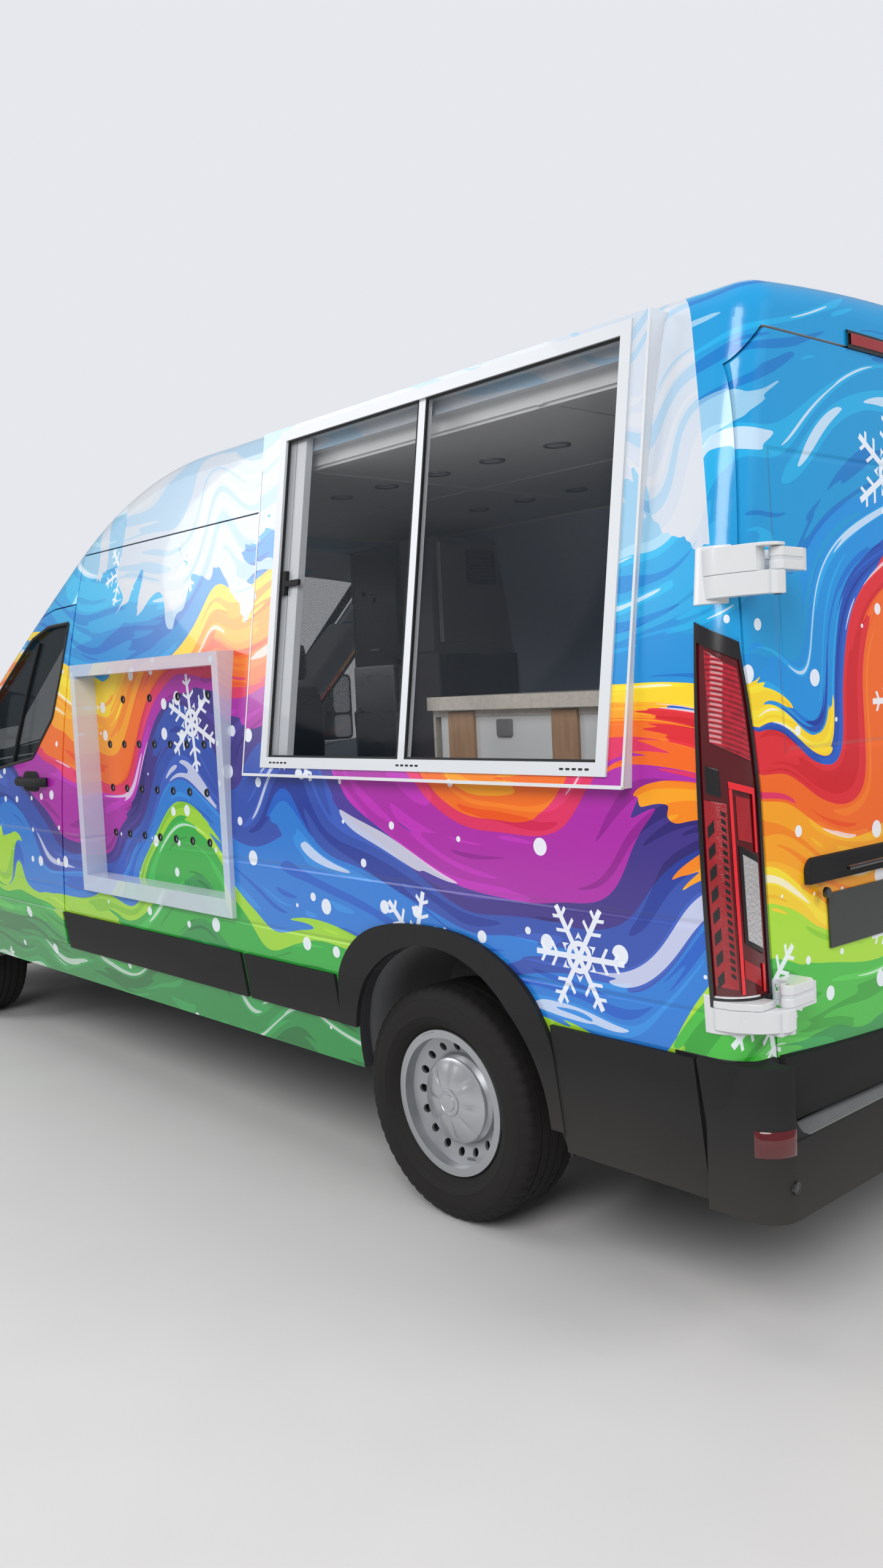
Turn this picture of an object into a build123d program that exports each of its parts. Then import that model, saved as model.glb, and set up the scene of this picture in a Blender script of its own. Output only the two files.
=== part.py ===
"""Shaved-ice and drinks food truck on a long panel van.

Millimetres. +X runs to the nose, +Y to the truck's left side and +Z up.
The origin is on the ground, midway along the truck and across it.
"""
import os
from math import cos, radians, sin, sqrt, tan

from build123d import *

os.makedirs("parts", exist_ok=True)

# Axles and wheels
wheelbase = 3760
rear_axle_x = -1805
front_axle_x = rear_axle_x + wheelbase
track = 1750
tyre_radius = 350
tyre_width = 235
rim_radius = 203
rim_width = 176
hub_offset = 52
spindle_radius = 28
running_gap = 0.4

# Body shell, given as its outer skin
wall = 38
seat_gap = 0.3
door_gap = 6
body_half = 1031
sill_half = 985
sill_z = 390
flank_low_z = 700
belt_z = 1000
flank_radius = 5400
roof_z = 2545
roof_edge_z = 2500
shoulder_radius = 118
roof_run_front = -400
brow_radius = 1740
brow_angle = 33
flank_turn_x = 1500
plan_radius = 4200
cabin_front_x = 2085
rear_x = -2950
rear_lean = 2.3
rear_bow = 32
corner_radius = 84
least_corner_radius = 12

# Nose
nose_x = 2970
nose_base_z = 285
nose_rake_x = 2815
nose_knee_z = 668
bonnet_rear_x = 2105
bonnet_rear_z = 1290
bonnet_slope = 15
bonnet_crown = 3400
nose_lip_radius = 64

# Panel seams
quarter_rear_x = rear_axle_x - 870
slide_rear_low_x = rear_axle_x + 955
slide_rear_lean = -0.055
cab_rear_low_x = rear_axle_x + 2391
cab_rear_lean = -0.088
cab_front_x = 1600
seam_low_z = 538
roof_split_z = 2400
roof_front_x = -200
door_base_z = 545
slide_top_z = 2205
cab_door_top_z = 2002
pillar_width = 88

# Arches
arch_x = rear_axle_x - 45
arch_centre_z = 432
arch_radius = 408
front_arch_radius = 408

# Serving window and its flat panel, which leans with the flank
panel_face_y = 1048
panel_face_z = 1378
panel_lean = 0.1456
panel_base_z = 1316
panel_top_z = 2462
window_rear_x = rear_axle_x - 700
window_front_x = rear_axle_x + 718
window_base_z = 1378
window_top_z = 2415
body_cut_top_z = 2372
frame_border = 34
mullion_x = rear_axle_x + 45
mullion_width = 30

# Tap station in the sliding door
station_rear_x = rear_axle_x + 990
station_front_x = rear_axle_x + 2130
station_base_z = 810
station_top_z = 1742
station_face_y = 1050
station_border = 40
niche_base_z = 875
niche_top_z = 1695
niche_back_y = 960
niche_wall = 10
tap_radius = 11
tap_pitch = 122
tap_first_x = rear_axle_x + 1257
tap_rows = (1050, 1235, 1413)
top_tap_first_x = rear_axle_x + 1209
top_tap_pitch = 215
top_tap_z = 1593

# Floor and underbody
floor_top_z = 700
floor_thick = 40
rail_inner_y = 400
rail_outer_y = 480
rail_base_z = 500

# Rear doors
rear_hinge_x = -2946
rear_hinge_y = 932
rear_door_base_z = 526
rear_door_top_z = 2372
rear_door_low_y = 905
rear_door_mid_y = 935
rear_door_high_y = 866

# Cladding
clad_base_z = 530
clad_top_z = 690
clad_thick = 12
flare_thick = 16


def write(block, label):
    block.part.label = label
    export_step(block.part, "parts/" + label + ".step")


def outline(plane, points, corners=0):
    """Face inside straight lines, its corners rounded where a radius is given."""
    with BuildSketch(plane) as drawn:
        with BuildLine():
            Polyline(*points, close=True)
        make_face()
        if corners:
            fillet(drawn.vertices(), corners)
    return drawn.sketch


def along_x(points, x_low, x_high, corners=0):
    """Block between two X whose outline is given in Y and Z."""
    face = outline(Plane.YZ.offset(x_low), points, corners)
    with BuildPart() as block:
        extrude(face, amount=x_high - x_low)
    return block.part


def along_y(points, y_low, y_high, corners=0):
    """Block between two Y whose outline is given in X and Z."""
    face = outline(Plane.XZ.offset(-y_high), points, corners)
    with BuildPart() as block:
        extrude(face, amount=y_high - y_low)
    return block.part


def along_z(points, z_low, z_high, corners=0):
    """Block between two Z whose outline is given in X and Y."""
    face = outline(Plane.XY.offset(z_low), points, corners)
    with BuildPart() as block:
        extrude(face, amount=z_high - z_low)
    return block.part


def brick(x_low, x_high, y_low, y_high, z_low, z_high):
    corners = [(x_low, y_low), (x_high, y_low), (x_high, y_high), (x_low, y_high)]
    return along_z(corners, z_low, z_high)


def mirrored(shape):
    """The same shape on the other side of the truck."""
    with BuildPart() as other:
        add(shape)
        mirror(about=Plane.XZ, mode=Mode.REPLACE)
    return other.part


def cylinder_y(x, z, radius, y_low, y_high):
    with BuildPart() as round_block:
        with BuildSketch(Plane.XZ.offset(-y_high)):
            with Locations((x, z)):
                Circle(radius)
        extrude(amount=y_high - y_low)
    return round_block.part


# Skin of the truck at a given depth

def flank_y(z, inset=0):
    """Half width of the flank above the belt."""
    radius = flank_radius - inset
    return body_half - flank_radius + sqrt(radius ** 2 - (z - belt_z) ** 2)


def flank_face(plane, inset):
    top = roof_z + 60
    middle = (belt_z + top) / 2
    half = body_half - inset
    low = sill_z - 100
    foot = sill_half - (sill_z - low) * (body_half - sill_half) / (flank_low_z - sill_z)
    with BuildSketch(plane) as drawn:
        with BuildLine():
            Polyline((0, top), (0, low), (foot - inset, low), (half, flank_low_z), (half, belt_z))
            ThreePointArc((half, belt_z), (flank_y(middle, inset), middle), (flank_y(top, inset), top))
            Line((flank_y(top, inset), top), (0, top))
        make_face()
    return drawn.sketch


def crown_face(plane, apex, crown_radius, depth):
    """Wide face with a bowed top, for sweeping the roof, windscreen and bonnet."""
    half = body_half + 120
    drop = crown_radius - sqrt(crown_radius ** 2 - half ** 2)
    with BuildSketch(plane) as drawn:
        with BuildLine():
            ThreePointArc((-half, apex - drop), (0, apex), (half, apex - drop))
            Polyline((half, apex - drop), (half, apex - depth), (-half, apex - depth), (-half, apex - drop))
        make_face()
    return drawn.sketch


def flank_block(inset):
    """Both flanks, straight to the cab and then turning in towards the nose."""
    back = flank_face(Plane.YZ.offset(rear_x - 100), inset)
    front = flank_face(Plane.YZ.offset(flank_turn_x), inset)
    turn = Axis((flank_turn_x, body_half - plan_radius, 0), (0, 0, -1))
    with BuildPart() as flanks:
        extrude(back, amount=flank_turn_x - rear_x + 100)
        revolve(front, axis=turn, revolution_arc=17)
        mirror(about=Plane.XZ)
    return flanks.part


def lid_block(inset):
    """Roof, brow and windscreen as one bowed surface, filled below."""
    edge = flank_y(roof_edge_z)
    crown = roof_z - roof_edge_z
    crown_radius = (edge ** 2 + crown ** 2) / (2 * crown) - inset
    pivot_z = roof_z - brow_radius
    lean = radians(brow_angle)
    slope = Plane(origin=(roof_run_front, 0, pivot_z), x_dir=(0, 1, 0), z_dir=(cos(lean), 0, -sin(lean)))
    back = crown_face(Plane.YZ.offset(rear_x - 100), roof_z - inset, crown_radius, 1600)
    turn = crown_face(Plane.YZ.offset(roof_run_front), roof_z - inset, crown_radius, 1600)
    glass = crown_face(slope, brow_radius - inset, crown_radius, 1600)
    half = body_half + 120
    under = along_y([(rear_x - 100, 200), (cabin_front_x, 200), (cabin_front_x, 1000), (1500, 1300),
                     (500, 1900), (-400, 2100), (rear_x - 100, 2100)], -half, half)
    with BuildPart() as lid:
        extrude(back, amount=roof_run_front - rear_x + 100)
        revolve(turn, axis=Axis((roof_run_front, 0, pivot_z), (0, 1, 0)), revolution_arc=brow_angle)
        extrude(glass, amount=2400)
        add(under)
    return lid.part


def rear_block(inset):
    """Everything ahead of the bowed rear face, which leans forward at the top."""
    edge_x = rear_x + rear_bow + inset
    half = body_half + 20
    with BuildSketch(Plane.XY) as drawn:
        with BuildLine():
            ThreePointArc((edge_x, -half), (rear_x + inset, 0), (edge_x, half))
            Polyline((edge_x, half), (edge_x, half + 200), (3200, half + 200), (3200, -half - 200),
                     (edge_x, -half - 200), (edge_x, -half))
        make_face()
    with BuildPart() as block:
        extrude(drawn.sketch, amount=roof_z + 200, dir=(tan(radians(rear_lean)), 0, 1))
    return block.part


def is_shoulder(edge):
    """Edge between a flank and the roof, brow or windscreen."""
    centre = edge.center()
    size = edge.bounding_box().size
    on_flank = 700 < abs(centre.Y) < body_half - 10
    return on_flank and centre.Z > 1250 and size.X > 250 and edge.geom_type != GeomType.CIRCLE


def is_rear_corner(edge):
    box = edge.bounding_box()
    return box.max.X < rear_x + 260 and box.max.Z > sill_z + 10 and box.size.X < 200


def cabin(inset):
    """Solid inside the skin of the body and cab, as deep as the inset."""
    flanks = flank_block(inset)
    lid = lid_block(inset)
    rear = rear_block(inset)
    base_z = sill_z if inset <= 0 else sill_z - 10
    front = brick(rear_x - 100, cabin_front_x, -1300, 1300, base_z, roof_z + 100)
    with BuildPart() as hull:
        add(flanks)
        add(lid, mode=Mode.INTERSECT)
        add(rear, mode=Mode.INTERSECT)
        fillet([edge for edge in hull.edges() if is_shoulder(edge)], shoulder_radius - max(inset, 0))
        corners = [edge for edge in hull.edges() if is_rear_corner(edge)]
        fillet(corners, max(corner_radius - max(inset, 0), least_corner_radius))
        add(front, mode=Mode.INTERSECT)
    return hull.part


def is_bonnet_rim(edge):
    centre = edge.center()
    box = edge.bounding_box()
    return centre.Z > 960 and box.max.X > 1500 and box.size.Z < 330 and box.size.X + box.size.Y > 40


def nose(inset):
    """Solid inside the skin of the bonnet, wings, grille and front bumper."""
    half = body_half
    with BuildSketch(Plane.XY.offset(nose_base_z)) as plan:
        with BuildLine():
            Polyline((cab_front_x - 200, -half), (2420, -half), (2790, -925), (2925, -640))
            ThreePointArc((2925, -640), (nose_x, 0), (2925, 640))
            Polyline((2925, 640), (2790, 925), (2420, half), (cab_front_x - 200, half),
                     (cab_front_x - 200, -half))
        make_face()
        fillet(plan.vertices().filter_by(lambda spot: 2400 < spot.X < 2500), 500)
        fillet(plan.vertices().filter_by(lambda spot: 2750 < spot.X < 2850), 160)
        fillet(plan.vertices().filter_by(lambda spot: 2900 < spot.X < 2950), 200)
        if inset > 0:
            offset(amount=-inset)
    side = along_y([(1400, nose_base_z), (nose_x - 45 - inset, nose_base_z), (nose_x - inset, 420),
                    (nose_x - inset, nose_knee_z), (nose_rake_x - inset, 1250), (2400, 1500),
                    (1400, 1500)], -1300, 1300)
    slope = radians(bonnet_slope)
    ahead = Plane(origin=(bonnet_rear_x, 0, bonnet_rear_z), x_dir=(0, 1, 0),
                  z_dir=(cos(slope), 0, -sin(slope)))
    lid_face = crown_face(ahead.offset(-700), -inset, bonnet_crown - inset, 1100)
    with BuildPart() as lid:
        extrude(lid_face, amount=1700)
    half = body_half - inset
    foot = sill_half - inset - (sill_z - nose_base_z) * (body_half - sill_half) / (flank_low_z - sill_z)
    sides = along_x([(-half, 1500), (-half, flank_low_z), (-foot, nose_base_z), (foot, nose_base_z),
                     (half, flank_low_z), (half, 1500)], cab_front_x - 200, 3000)
    with BuildPart() as hull:
        extrude(plan.sketch, amount=1300)
        add(side, mode=Mode.INTERSECT)
        add(sides, mode=Mode.INTERSECT)
        add(lid.part, mode=Mode.INTERSECT)
        fillet([edge for edge in hull.edges() if is_bonnet_rim(edge)], nose_lip_radius - max(inset, 0))
    return hull.part


def slide_rear_x(z, gap=0):
    """Rear edge of the sliding door's opening at a height."""
    return slide_rear_low_x + slide_rear_lean * (z - clad_top_z) + gap


def cab_rear_x(z, gap=0):
    """Rear edge of the cab doors at a height."""
    return cab_rear_low_x + cab_rear_lean * (z - seam_low_z) + gap


def pillar_z(x, drop):
    """Height of a line that lies below the windscreen's surface by a drop."""
    start_x = roof_run_front + brow_radius * sin(radians(brow_angle))
    start_z = roof_z - brow_radius * (1 - cos(radians(brow_angle)))
    return start_z - drop - tan(radians(brow_angle)) * (x - start_x)


def slide_door_outline(gap):
    """Sliding door in X and Z, grown by a gap."""
    low, high = door_base_z - gap, slide_top_z + gap
    return [(slide_rear_x(low, -gap), low), (cab_rear_x(low, gap - 2 * door_gap), low),
            (cab_rear_x(high, gap - 2 * door_gap), high), (slide_rear_x(high, -gap), high)]


def cab_door_outline(gap):
    """Cab door in X and Z, grown by a gap. Its top follows the windscreen pillar."""
    low = door_base_z - gap
    side = cab_front_x + gap
    drop = pillar_width - gap
    return [(cab_rear_x(low, -gap), low), (side, low), (side, pillar_z(side, drop)),
            (888 + gap, pillar_z(888 + gap, drop)), (660, 1996 + gap),
            (cab_rear_x(cab_door_top_z, -gap), cab_door_top_z + gap)]


def cab_window_outline(gap):
    """Cab door window in X and Z, shrunk by a gap."""
    return [(502 + gap, 1930 - gap), (542 + gap, 1730), (610 + gap, 1530), (813, 1353 + gap),
            (1233, 1296 + gap), (1500, 1262 + gap), (1532 - gap, 1300), (1532 - gap, 1418),
            (861, 1880 - gap), (700, 1926 - gap)]


def rear_door_outline(gap):
    """Left rear door in Y and Z, grown by a gap."""
    half = 3 - gap
    low, high = rear_door_base_z - gap, rear_door_top_z + gap
    return [(half, low), (rear_door_low_y + gap, low), (rear_door_low_y + gap, 1305),
            (rear_door_mid_y + gap, 1610), (rear_door_mid_y - 6 + gap, 1770),
            (rear_door_high_y + gap, 2290), (790 + gap, high), (half, high)]


def rear_arch(radius, y_low, y_high):
    """Round arch over the rear wheel, open below."""
    with BuildPart() as arch:
        add(cylinder_y(arch_x, arch_centre_z, radius, y_low, y_high))
        add(brick(arch_x - radius, arch_x + radius, y_low, y_high, 200, arch_centre_z))
    return arch.part


def front_arch(radius, y_low, y_high):
    with BuildPart() as arch:
        add(cylinder_y(front_axle_x, tyre_radius, radius, y_low, y_high))
        add(brick(front_axle_x - radius, front_axle_x + radius, y_low, y_high, 200, tyre_radius))
    return arch.part


def only(shape, *masks):
    """What is left of a shape inside every mask."""
    with BuildPart() as kept:
        add(shape)
        for mask in masks:
            add(mask, mode=Mode.INTERSECT)
    return kept.part


def less(shape, *tools):
    """What is left of a shape once the tools are cut away."""
    with BuildPart() as kept:
        add(shape)
        for tool in tools:
            add(tool, mode=Mode.SUBTRACT)
    return kept.part


far = 1300
outer_cabin = cabin(0)
inner_cabin = cabin(wall)
seat_cabin = cabin(-seat_gap)
lined_cabin = cabin(wall + seat_gap)
outer_nose = nose(0)
inner_nose = nose(wall)
seat_nose = nose(-seat_gap)
cabin_shell = less(outer_cabin, inner_cabin)
nose_shell = less(outer_nose, inner_nose)

roof_zone = brick(-2790, roof_front_x, -far, far, roof_split_z, roof_z + 50)
slide_zone = along_y(slide_door_outline(door_gap), 600, far)
cab_zone = along_y(cab_door_outline(door_gap), 600, far)
screen_points = [(600, -775), (1955, -905), (1955, 905), (600, 775)]
screen_zone = along_z(screen_points, 1200, 2400, 50)
rear_arch_zone = rear_arch(arch_radius, 600, far)
front_arch_zone = front_arch(front_arch_radius, 560, far)

# Roof
with BuildPart() as roof_panel:
    add(cabin_shell)
    add(roof_zone, mode=Mode.INTERSECT)
write(roof_panel, "roof_panel")

# Body sides, with the left one cut for the serving window
quarter_low = [(-2800, 696), (-2764, 696), (-2778, sill_z)]
header_z = slide_top_z + door_gap


def lamp_x(z):
    """Edge between the body side and the tail lamp at a height."""
    return quarter_rear_x - 82 + 0.0537 * (z - 1726)


lamp_edge = [(quarter_rear_x, roof_split_z), (quarter_rear_x - 35, 1812), (lamp_x(1726), 1726),
             (lamp_x(814), 814)]
left_front_edge = [(slide_rear_x(sill_z), sill_z), (slide_rear_x(roof_split_z), roof_split_z)]
left_side_zone = along_y(quarter_low + left_front_edge + lamp_edge, 600, far)
right_front_edge = [(cab_rear_x(sill_z, -door_gap), sill_z), (cab_rear_x(header_z, -door_gap), header_z),
                    (roof_front_x, header_z), (roof_front_x, roof_split_z)]
right_side_zone = mirrored(along_y(quarter_low + right_front_edge + lamp_edge, 600, far))
body_cut_points = [(window_rear_x - frame_border, window_base_z - frame_border),
                   (window_front_x + frame_border, window_base_z - frame_border),
                   (window_front_x + frame_border, body_cut_top_z),
                   (window_rear_x - frame_border, body_cut_top_z)]
body_cut = along_y(body_cut_points, 600, far)

with BuildPart() as body_side_left:
    add(cabin_shell)
    add(left_side_zone, mode=Mode.INTERSECT)
    add(rear_arch_zone, mode=Mode.SUBTRACT)
    add(body_cut, mode=Mode.SUBTRACT)
write(body_side_left, "body_side_left")

with BuildPart() as body_side_right:
    add(cabin_shell)
    add(right_side_zone, mode=Mode.INTERSECT)
    add(mirrored(rear_arch_zone), mode=Mode.SUBTRACT)
write(body_side_right, "body_side_right")

# Frame around the rear doors, with the corner posts and the tail lamps let into them
lamp_front = [(-3100, 820), (lamp_x(820), 820), (lamp_x(1720), 1720), (-3100, 1720)]
lamp_inner = [(rear_door_low_y + 9, 800), (rear_door_low_y + 9, 1310), (rear_door_mid_y + 10, 1620),
              (rear_door_mid_y + 14, 1650), (body_half, 1700), (far, 1740), (far, 800)]
lamp_zone = only(along_y(lamp_front, 600, far), along_x(lamp_inner, rear_x - 50, rear_x + 300))
rear_zone = brick(rear_x - 50, quarter_rear_x, -far, far, rear_door_base_z, roof_z + 50)
both_rear_doors = along_x([(y, z) for y, z in rear_door_outline(door_gap)[1:-1]]
                          + [(-y, z) for y, z in reversed(rear_door_outline(door_gap)[1:-1])],
                          rear_x - 50, rear_x + 200)

hinge_spans = ((1750, 1850), (760, 866))
hinge_radius = 16
pin_radius = 7


def hinge_pins():
    """Pins and fixed arms of the left rear door's two outside hinges."""
    with BuildPart() as hinges:
        for low, high in hinge_spans:
            middle = (low + high) / 2
            with BuildSketch(Plane.XY.offset(low)):
                with Locations((rear_hinge_x, rear_hinge_y)):
                    Circle(hinge_radius)
            extrude(amount=middle - low)
            with BuildSketch(Plane.XY.offset(middle)):
                with Locations((rear_hinge_x, rear_hinge_y)):
                    Circle(pin_radius)
            extrude(amount=high - middle)
            with BuildSketch(Plane.XY.offset(low)):
                with Locations((rear_hinge_x + 60, rear_hinge_y + 24)):
                    Rectangle(136, 34)
            extrude(amount=middle - low)
    return hinges.part


def hinge_strap():
    """Moving arms and knuckles of the same hinges, bored for the pins."""
    with BuildPart() as straps:
        for low, high in hinge_spans:
            middle = (low + high) / 2 + running_gap
            with BuildSketch(Plane.XY.offset(middle)):
                with Locations((rear_hinge_x, rear_hinge_y)):
                    Circle(hinge_radius)
                with Locations((rear_hinge_x, rear_hinge_y - 31)):
                    Rectangle(32, 62)
                with Locations((rear_hinge_x + 49, rear_hinge_y - 64)):
                    Rectangle(130, 56)
                with Locations((rear_hinge_x, rear_hinge_y)):
                    Circle(pin_radius + running_gap, mode=Mode.SUBTRACT)
            extrude(amount=high - middle)
    return straps.part


pins = less(hinge_pins(), inner_cabin)
with BuildPart() as rear_frame:
    add(cabin_shell)
    add(rear_zone, mode=Mode.INTERSECT)
    for tool in (left_side_zone, mirrored(left_side_zone), roof_zone, both_rear_doors, lamp_zone,
                 mirrored(lamp_zone)):
        add(tool, mode=Mode.SUBTRACT)
    add(pins)
    add(mirrored(pins))
write(rear_frame, "rear_frame")

# Cab frame: header over the side doors, brow, windscreen pillars, inner hoop and bulkhead
frame_low_z = 540
left_span = along_y([(slide_rear_x(frame_low_z), frame_low_z), (cabin_front_x, frame_low_z),
                     (cabin_front_x, roof_z + 50), (slide_rear_x(roof_z), roof_z + 50)], 0, far)
right_span = mirrored(along_y([(cab_rear_x(frame_low_z, -door_gap), frame_low_z), (cabin_front_x, frame_low_z),
                               (cabin_front_x, roof_z + 50), (roof_front_x, roof_z + 50),
                               (roof_front_x, header_z), (cab_rear_x(header_z, -door_gap), header_z)], 0, far))
bulkhead_x = 1650
cowl_z = 1150
hoop_depth = 46
hoop_width = 80
pillar_foot = less(only(brick(bulkhead_x, bulkhead_x + 100, 860, 990, cowl_z + 20, 1360), lined_cabin),
                   brick(bulkhead_x - 1, bulkhead_x + 101, 918, 1000, cowl_z, 1300))
hoop_points = [(cab_rear_x(floor_top_z) - hoop_width, floor_top_z), (cab_rear_x(floor_top_z), floor_top_z),
               (cab_rear_x(2380), 2380), (cab_rear_x(2380) - hoop_width, 2380)]
hoop_zone = along_y(hoop_points, -far, far)
scuttle_x = 1955
scuttle_half = 902
scuttle_z = 1190
scuttle_zone = brick(scuttle_x, cabin_front_x + 10, -scuttle_half, scuttle_half, scuttle_z, 1500)
scuttle_gap = brick(scuttle_x - seat_gap, cabin_front_x + 10, -scuttle_half - seat_gap, scuttle_half + seat_gap,
                    scuttle_z, 1500)
hoop_outer = cabin(wall + 6)
hoop_inner = cabin(wall + 6 + hoop_depth)
with BuildPart() as cab_frame:
    add(only(cabin_shell, left_span))
    add(only(cabin_shell, right_span))
    for tool in (roof_zone, slide_zone, cab_zone, mirrored(cab_zone), screen_zone, seat_nose):
        add(tool, mode=Mode.SUBTRACT)
    add(only(less(hoop_outer, hoop_inner), hoop_zone))
    add(only(less(lined_cabin, hoop_inner), hoop_zone, brick(-3100, 3100, -far, far, 2230, 2380)))
    add(only(brick(bulkhead_x, bulkhead_x + 36, -918, 918, floor_top_z, cowl_z + 30), lined_cabin))
    add(brick(bulkhead_x, cabin_front_x - 40, -900, 900, cowl_z, cowl_z + 30))
    add(pillar_foot)
    add(mirrored(pillar_foot))
    add(scuttle_gap, mode=Mode.SUBTRACT)
write(cab_frame, "cab_frame")

screen_inner = along_z([(x + (seat_gap if x < 1000 else -seat_gap), y + (seat_gap if y < 0 else -seat_gap))
                        for x, y in screen_points], 1200, 2400, 50)
with BuildPart() as windscreen:
    add(only(less(cabin(3), cabin(10)), screen_inner))
write(windscreen, "windscreen")

with BuildPart() as scuttle_panel:
    add(only(cabin_shell, scuttle_zone))
    add(seat_nose, mode=Mode.SUBTRACT)
    add(screen_zone, mode=Mode.SUBTRACT)
write(scuttle_panel, "scuttle_panel")

# Sills below the doors
sill_front_x = 1540
sill_top_z = frame_low_z - 0.5
sill_span = [(slide_rear_x(sill_z, seat_gap), sill_z), (sill_front_x, sill_z), (sill_front_x, sill_top_z),
             (slide_rear_x(frame_low_z, seat_gap), sill_top_z)]
right_sill_span = [(cab_rear_x(sill_z, seat_gap - door_gap), sill_z), (sill_front_x, sill_z),
                   (sill_front_x, sill_top_z), (cab_rear_x(frame_low_z, seat_gap - door_gap), sill_top_z)]
with BuildPart() as side_sills:
    add(only(cabin_shell, along_y(sill_span, 600, far)))
    add(only(cabin_shell, mirrored(along_y(right_sill_span, 600, far))))
write(side_sills, "side_sills")

# Sliding door with the tap station let into it
niche_rear_x = station_rear_x + station_border
niche_front_x = station_front_x - station_border
station_box = [(niche_rear_x - niche_wall, niche_base_z - niche_wall),
               (niche_front_x + niche_wall, niche_base_z - niche_wall),
               (niche_front_x + niche_wall, niche_top_z + niche_wall),
               (niche_rear_x - niche_wall, niche_top_z + niche_wall)]
niche_points = [(niche_rear_x, niche_base_z), (niche_front_x, niche_base_z), (niche_front_x, niche_top_z),
                (niche_rear_x, niche_top_z)]
station_points = [(station_rear_x, station_base_z), (station_front_x, station_base_z),
                  (station_front_x, station_top_z), (station_rear_x, station_top_z)]
door_skin = cabin(-clad_thick)
clad_slice = brick(-3100, 3100, -far, far, clad_base_z, clad_top_z)
clad_ring = only(less(door_skin, seat_cabin), clad_slice)
guide_skin = less(cabin(20), inner_cabin)
with BuildPart() as sliding_door:
    add(only(cabin_shell, along_y(slide_door_outline(0), 600, far)))
    for guide_x in (-700, 300):
        add(only(guide_skin, brick(guide_x - 25, guide_x + 25, 600, far, slide_top_z - 10,
                                   slide_top_z + door_gap - seat_gap)))
        add(only(guide_skin, brick(guide_x - 25, guide_x + 25, 600, far, frame_low_z - 0.2,
                                   door_base_z + 10)))
    add(along_y([(x + (seat_gap if x > 0 else -seat_gap), z + (seat_gap if z > 1200 else -seat_gap))
                 for x, z in station_box], 600, far), mode=Mode.SUBTRACT)
write(sliding_door, "sliding_door")

with BuildPart() as tap_station:
    add(less(along_y(station_points, 930, station_face_y), seat_cabin))
    add(along_y(station_box, niche_back_y - niche_wall, station_face_y - 5))
    add(along_y(niche_points, niche_back_y, station_face_y + 5), mode=Mode.SUBTRACT)
    for row_z in tap_rows:
        for number in range(7):
            add(cylinder_y(tap_first_x + number * tap_pitch, row_z, tap_radius, 900, 1000),
                mode=Mode.SUBTRACT)
    for number in range(4):
        add(cylinder_y(top_tap_first_x + number * top_tap_pitch, top_tap_z, tap_radius, 900, 1000),
            mode=Mode.SUBTRACT)
write(tap_station, "tap_station")

# Serving panel, window frame and sliding glass
def panel_y(z, depth=0):
    """Face of the leaning serving panel at a height, or a plane behind it."""
    return panel_face_y - panel_lean * (z - panel_face_z) - depth


def leaning_slab(z_low, z_high, shallow, deep):
    """Slab parallel to the serving panel, between two depths behind its face."""
    points = [(panel_y(z_low, shallow), z_low), (panel_y(z_high, shallow), z_high),
              (panel_y(z_high, deep), z_high), (panel_y(z_low, deep), z_low)]
    return along_x(points, -3000, 0)


panel_rear_x = rear_axle_x - 785
panel_front_x = rear_axle_x + 862
frame_points = [(window_rear_x - frame_border, window_base_z - frame_border),
                (window_front_x + frame_border, window_base_z - frame_border),
                (window_front_x + frame_border, window_top_z + frame_border),
                (window_rear_x - frame_border, window_top_z + frame_border)]
light_points = [(window_rear_x, window_base_z), (window_front_x, window_base_z),
                (window_front_x, window_top_z), (window_rear_x, window_top_z)]
frame_cut = along_y([(x + (seat_gap if x > -1800 else -seat_gap), z + (seat_gap if z > 2000 else -seat_gap))
                     for x, z in frame_points], 600, far)
with BuildPart() as serving_panel:
    add(leaning_slab(panel_base_z, panel_top_z, 0, 70))
    add(brick(panel_rear_x, panel_front_x, 600, far, 1000, 2600), mode=Mode.INTERSECT)
    add(seat_cabin, mode=Mode.SUBTRACT)
    add(frame_cut, mode=Mode.SUBTRACT)
write(serving_panel, "serving_panel")

frame_depth = 44
light_cut = along_y(light_points, 600, far)
mullion = brick(mullion_x - mullion_width / 2, mullion_x + mullion_width / 2, 600, far, 1300, 2600)
with BuildPart() as serving_frame:
    add(only(leaning_slab(panel_base_z, panel_top_z, -6, frame_depth), along_y(frame_points, 600, far)))
    add(light_cut, mode=Mode.SUBTRACT)
    add(only(leaning_slab(window_base_z - 5, window_top_z + 5, 4, 30), mullion))
write(serving_frame, "serving_frame")

pane_gap = 0.3
pane_spans = ((window_rear_x + pane_gap, mullion_x - mullion_width / 2 - pane_gap),
              (mullion_x + mullion_width / 2 + pane_gap, window_front_x - pane_gap))
with BuildPart() as serving_glass:
    for pane_low, pane_high in pane_spans:
        add(only(leaning_slab(window_base_z + pane_gap, window_top_z - pane_gap, 12, 18),
                 brick(pane_low, pane_high, 600, far, 1300, 2600)))
write(serving_glass, "serving_glass")

# Cab doors, their glass and mirrors
cab_window = along_y(cab_window_outline(0), 600, far, 22)
cab_door_zone = along_y(cab_door_outline(0), 600, far)
door_clad = only(less(door_skin, inner_cabin), clad_slice, cab_door_zone,
                 brick(0, cab_front_x - 14, 600, far, 500, 800))
cab_door_shape = less(only(cabin_shell, cab_door_zone), cab_window)
cab_glass_shape = only(less(cabin(12), cabin(17)), along_y(cab_window_outline(seat_gap), 600, far, 22))


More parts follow.
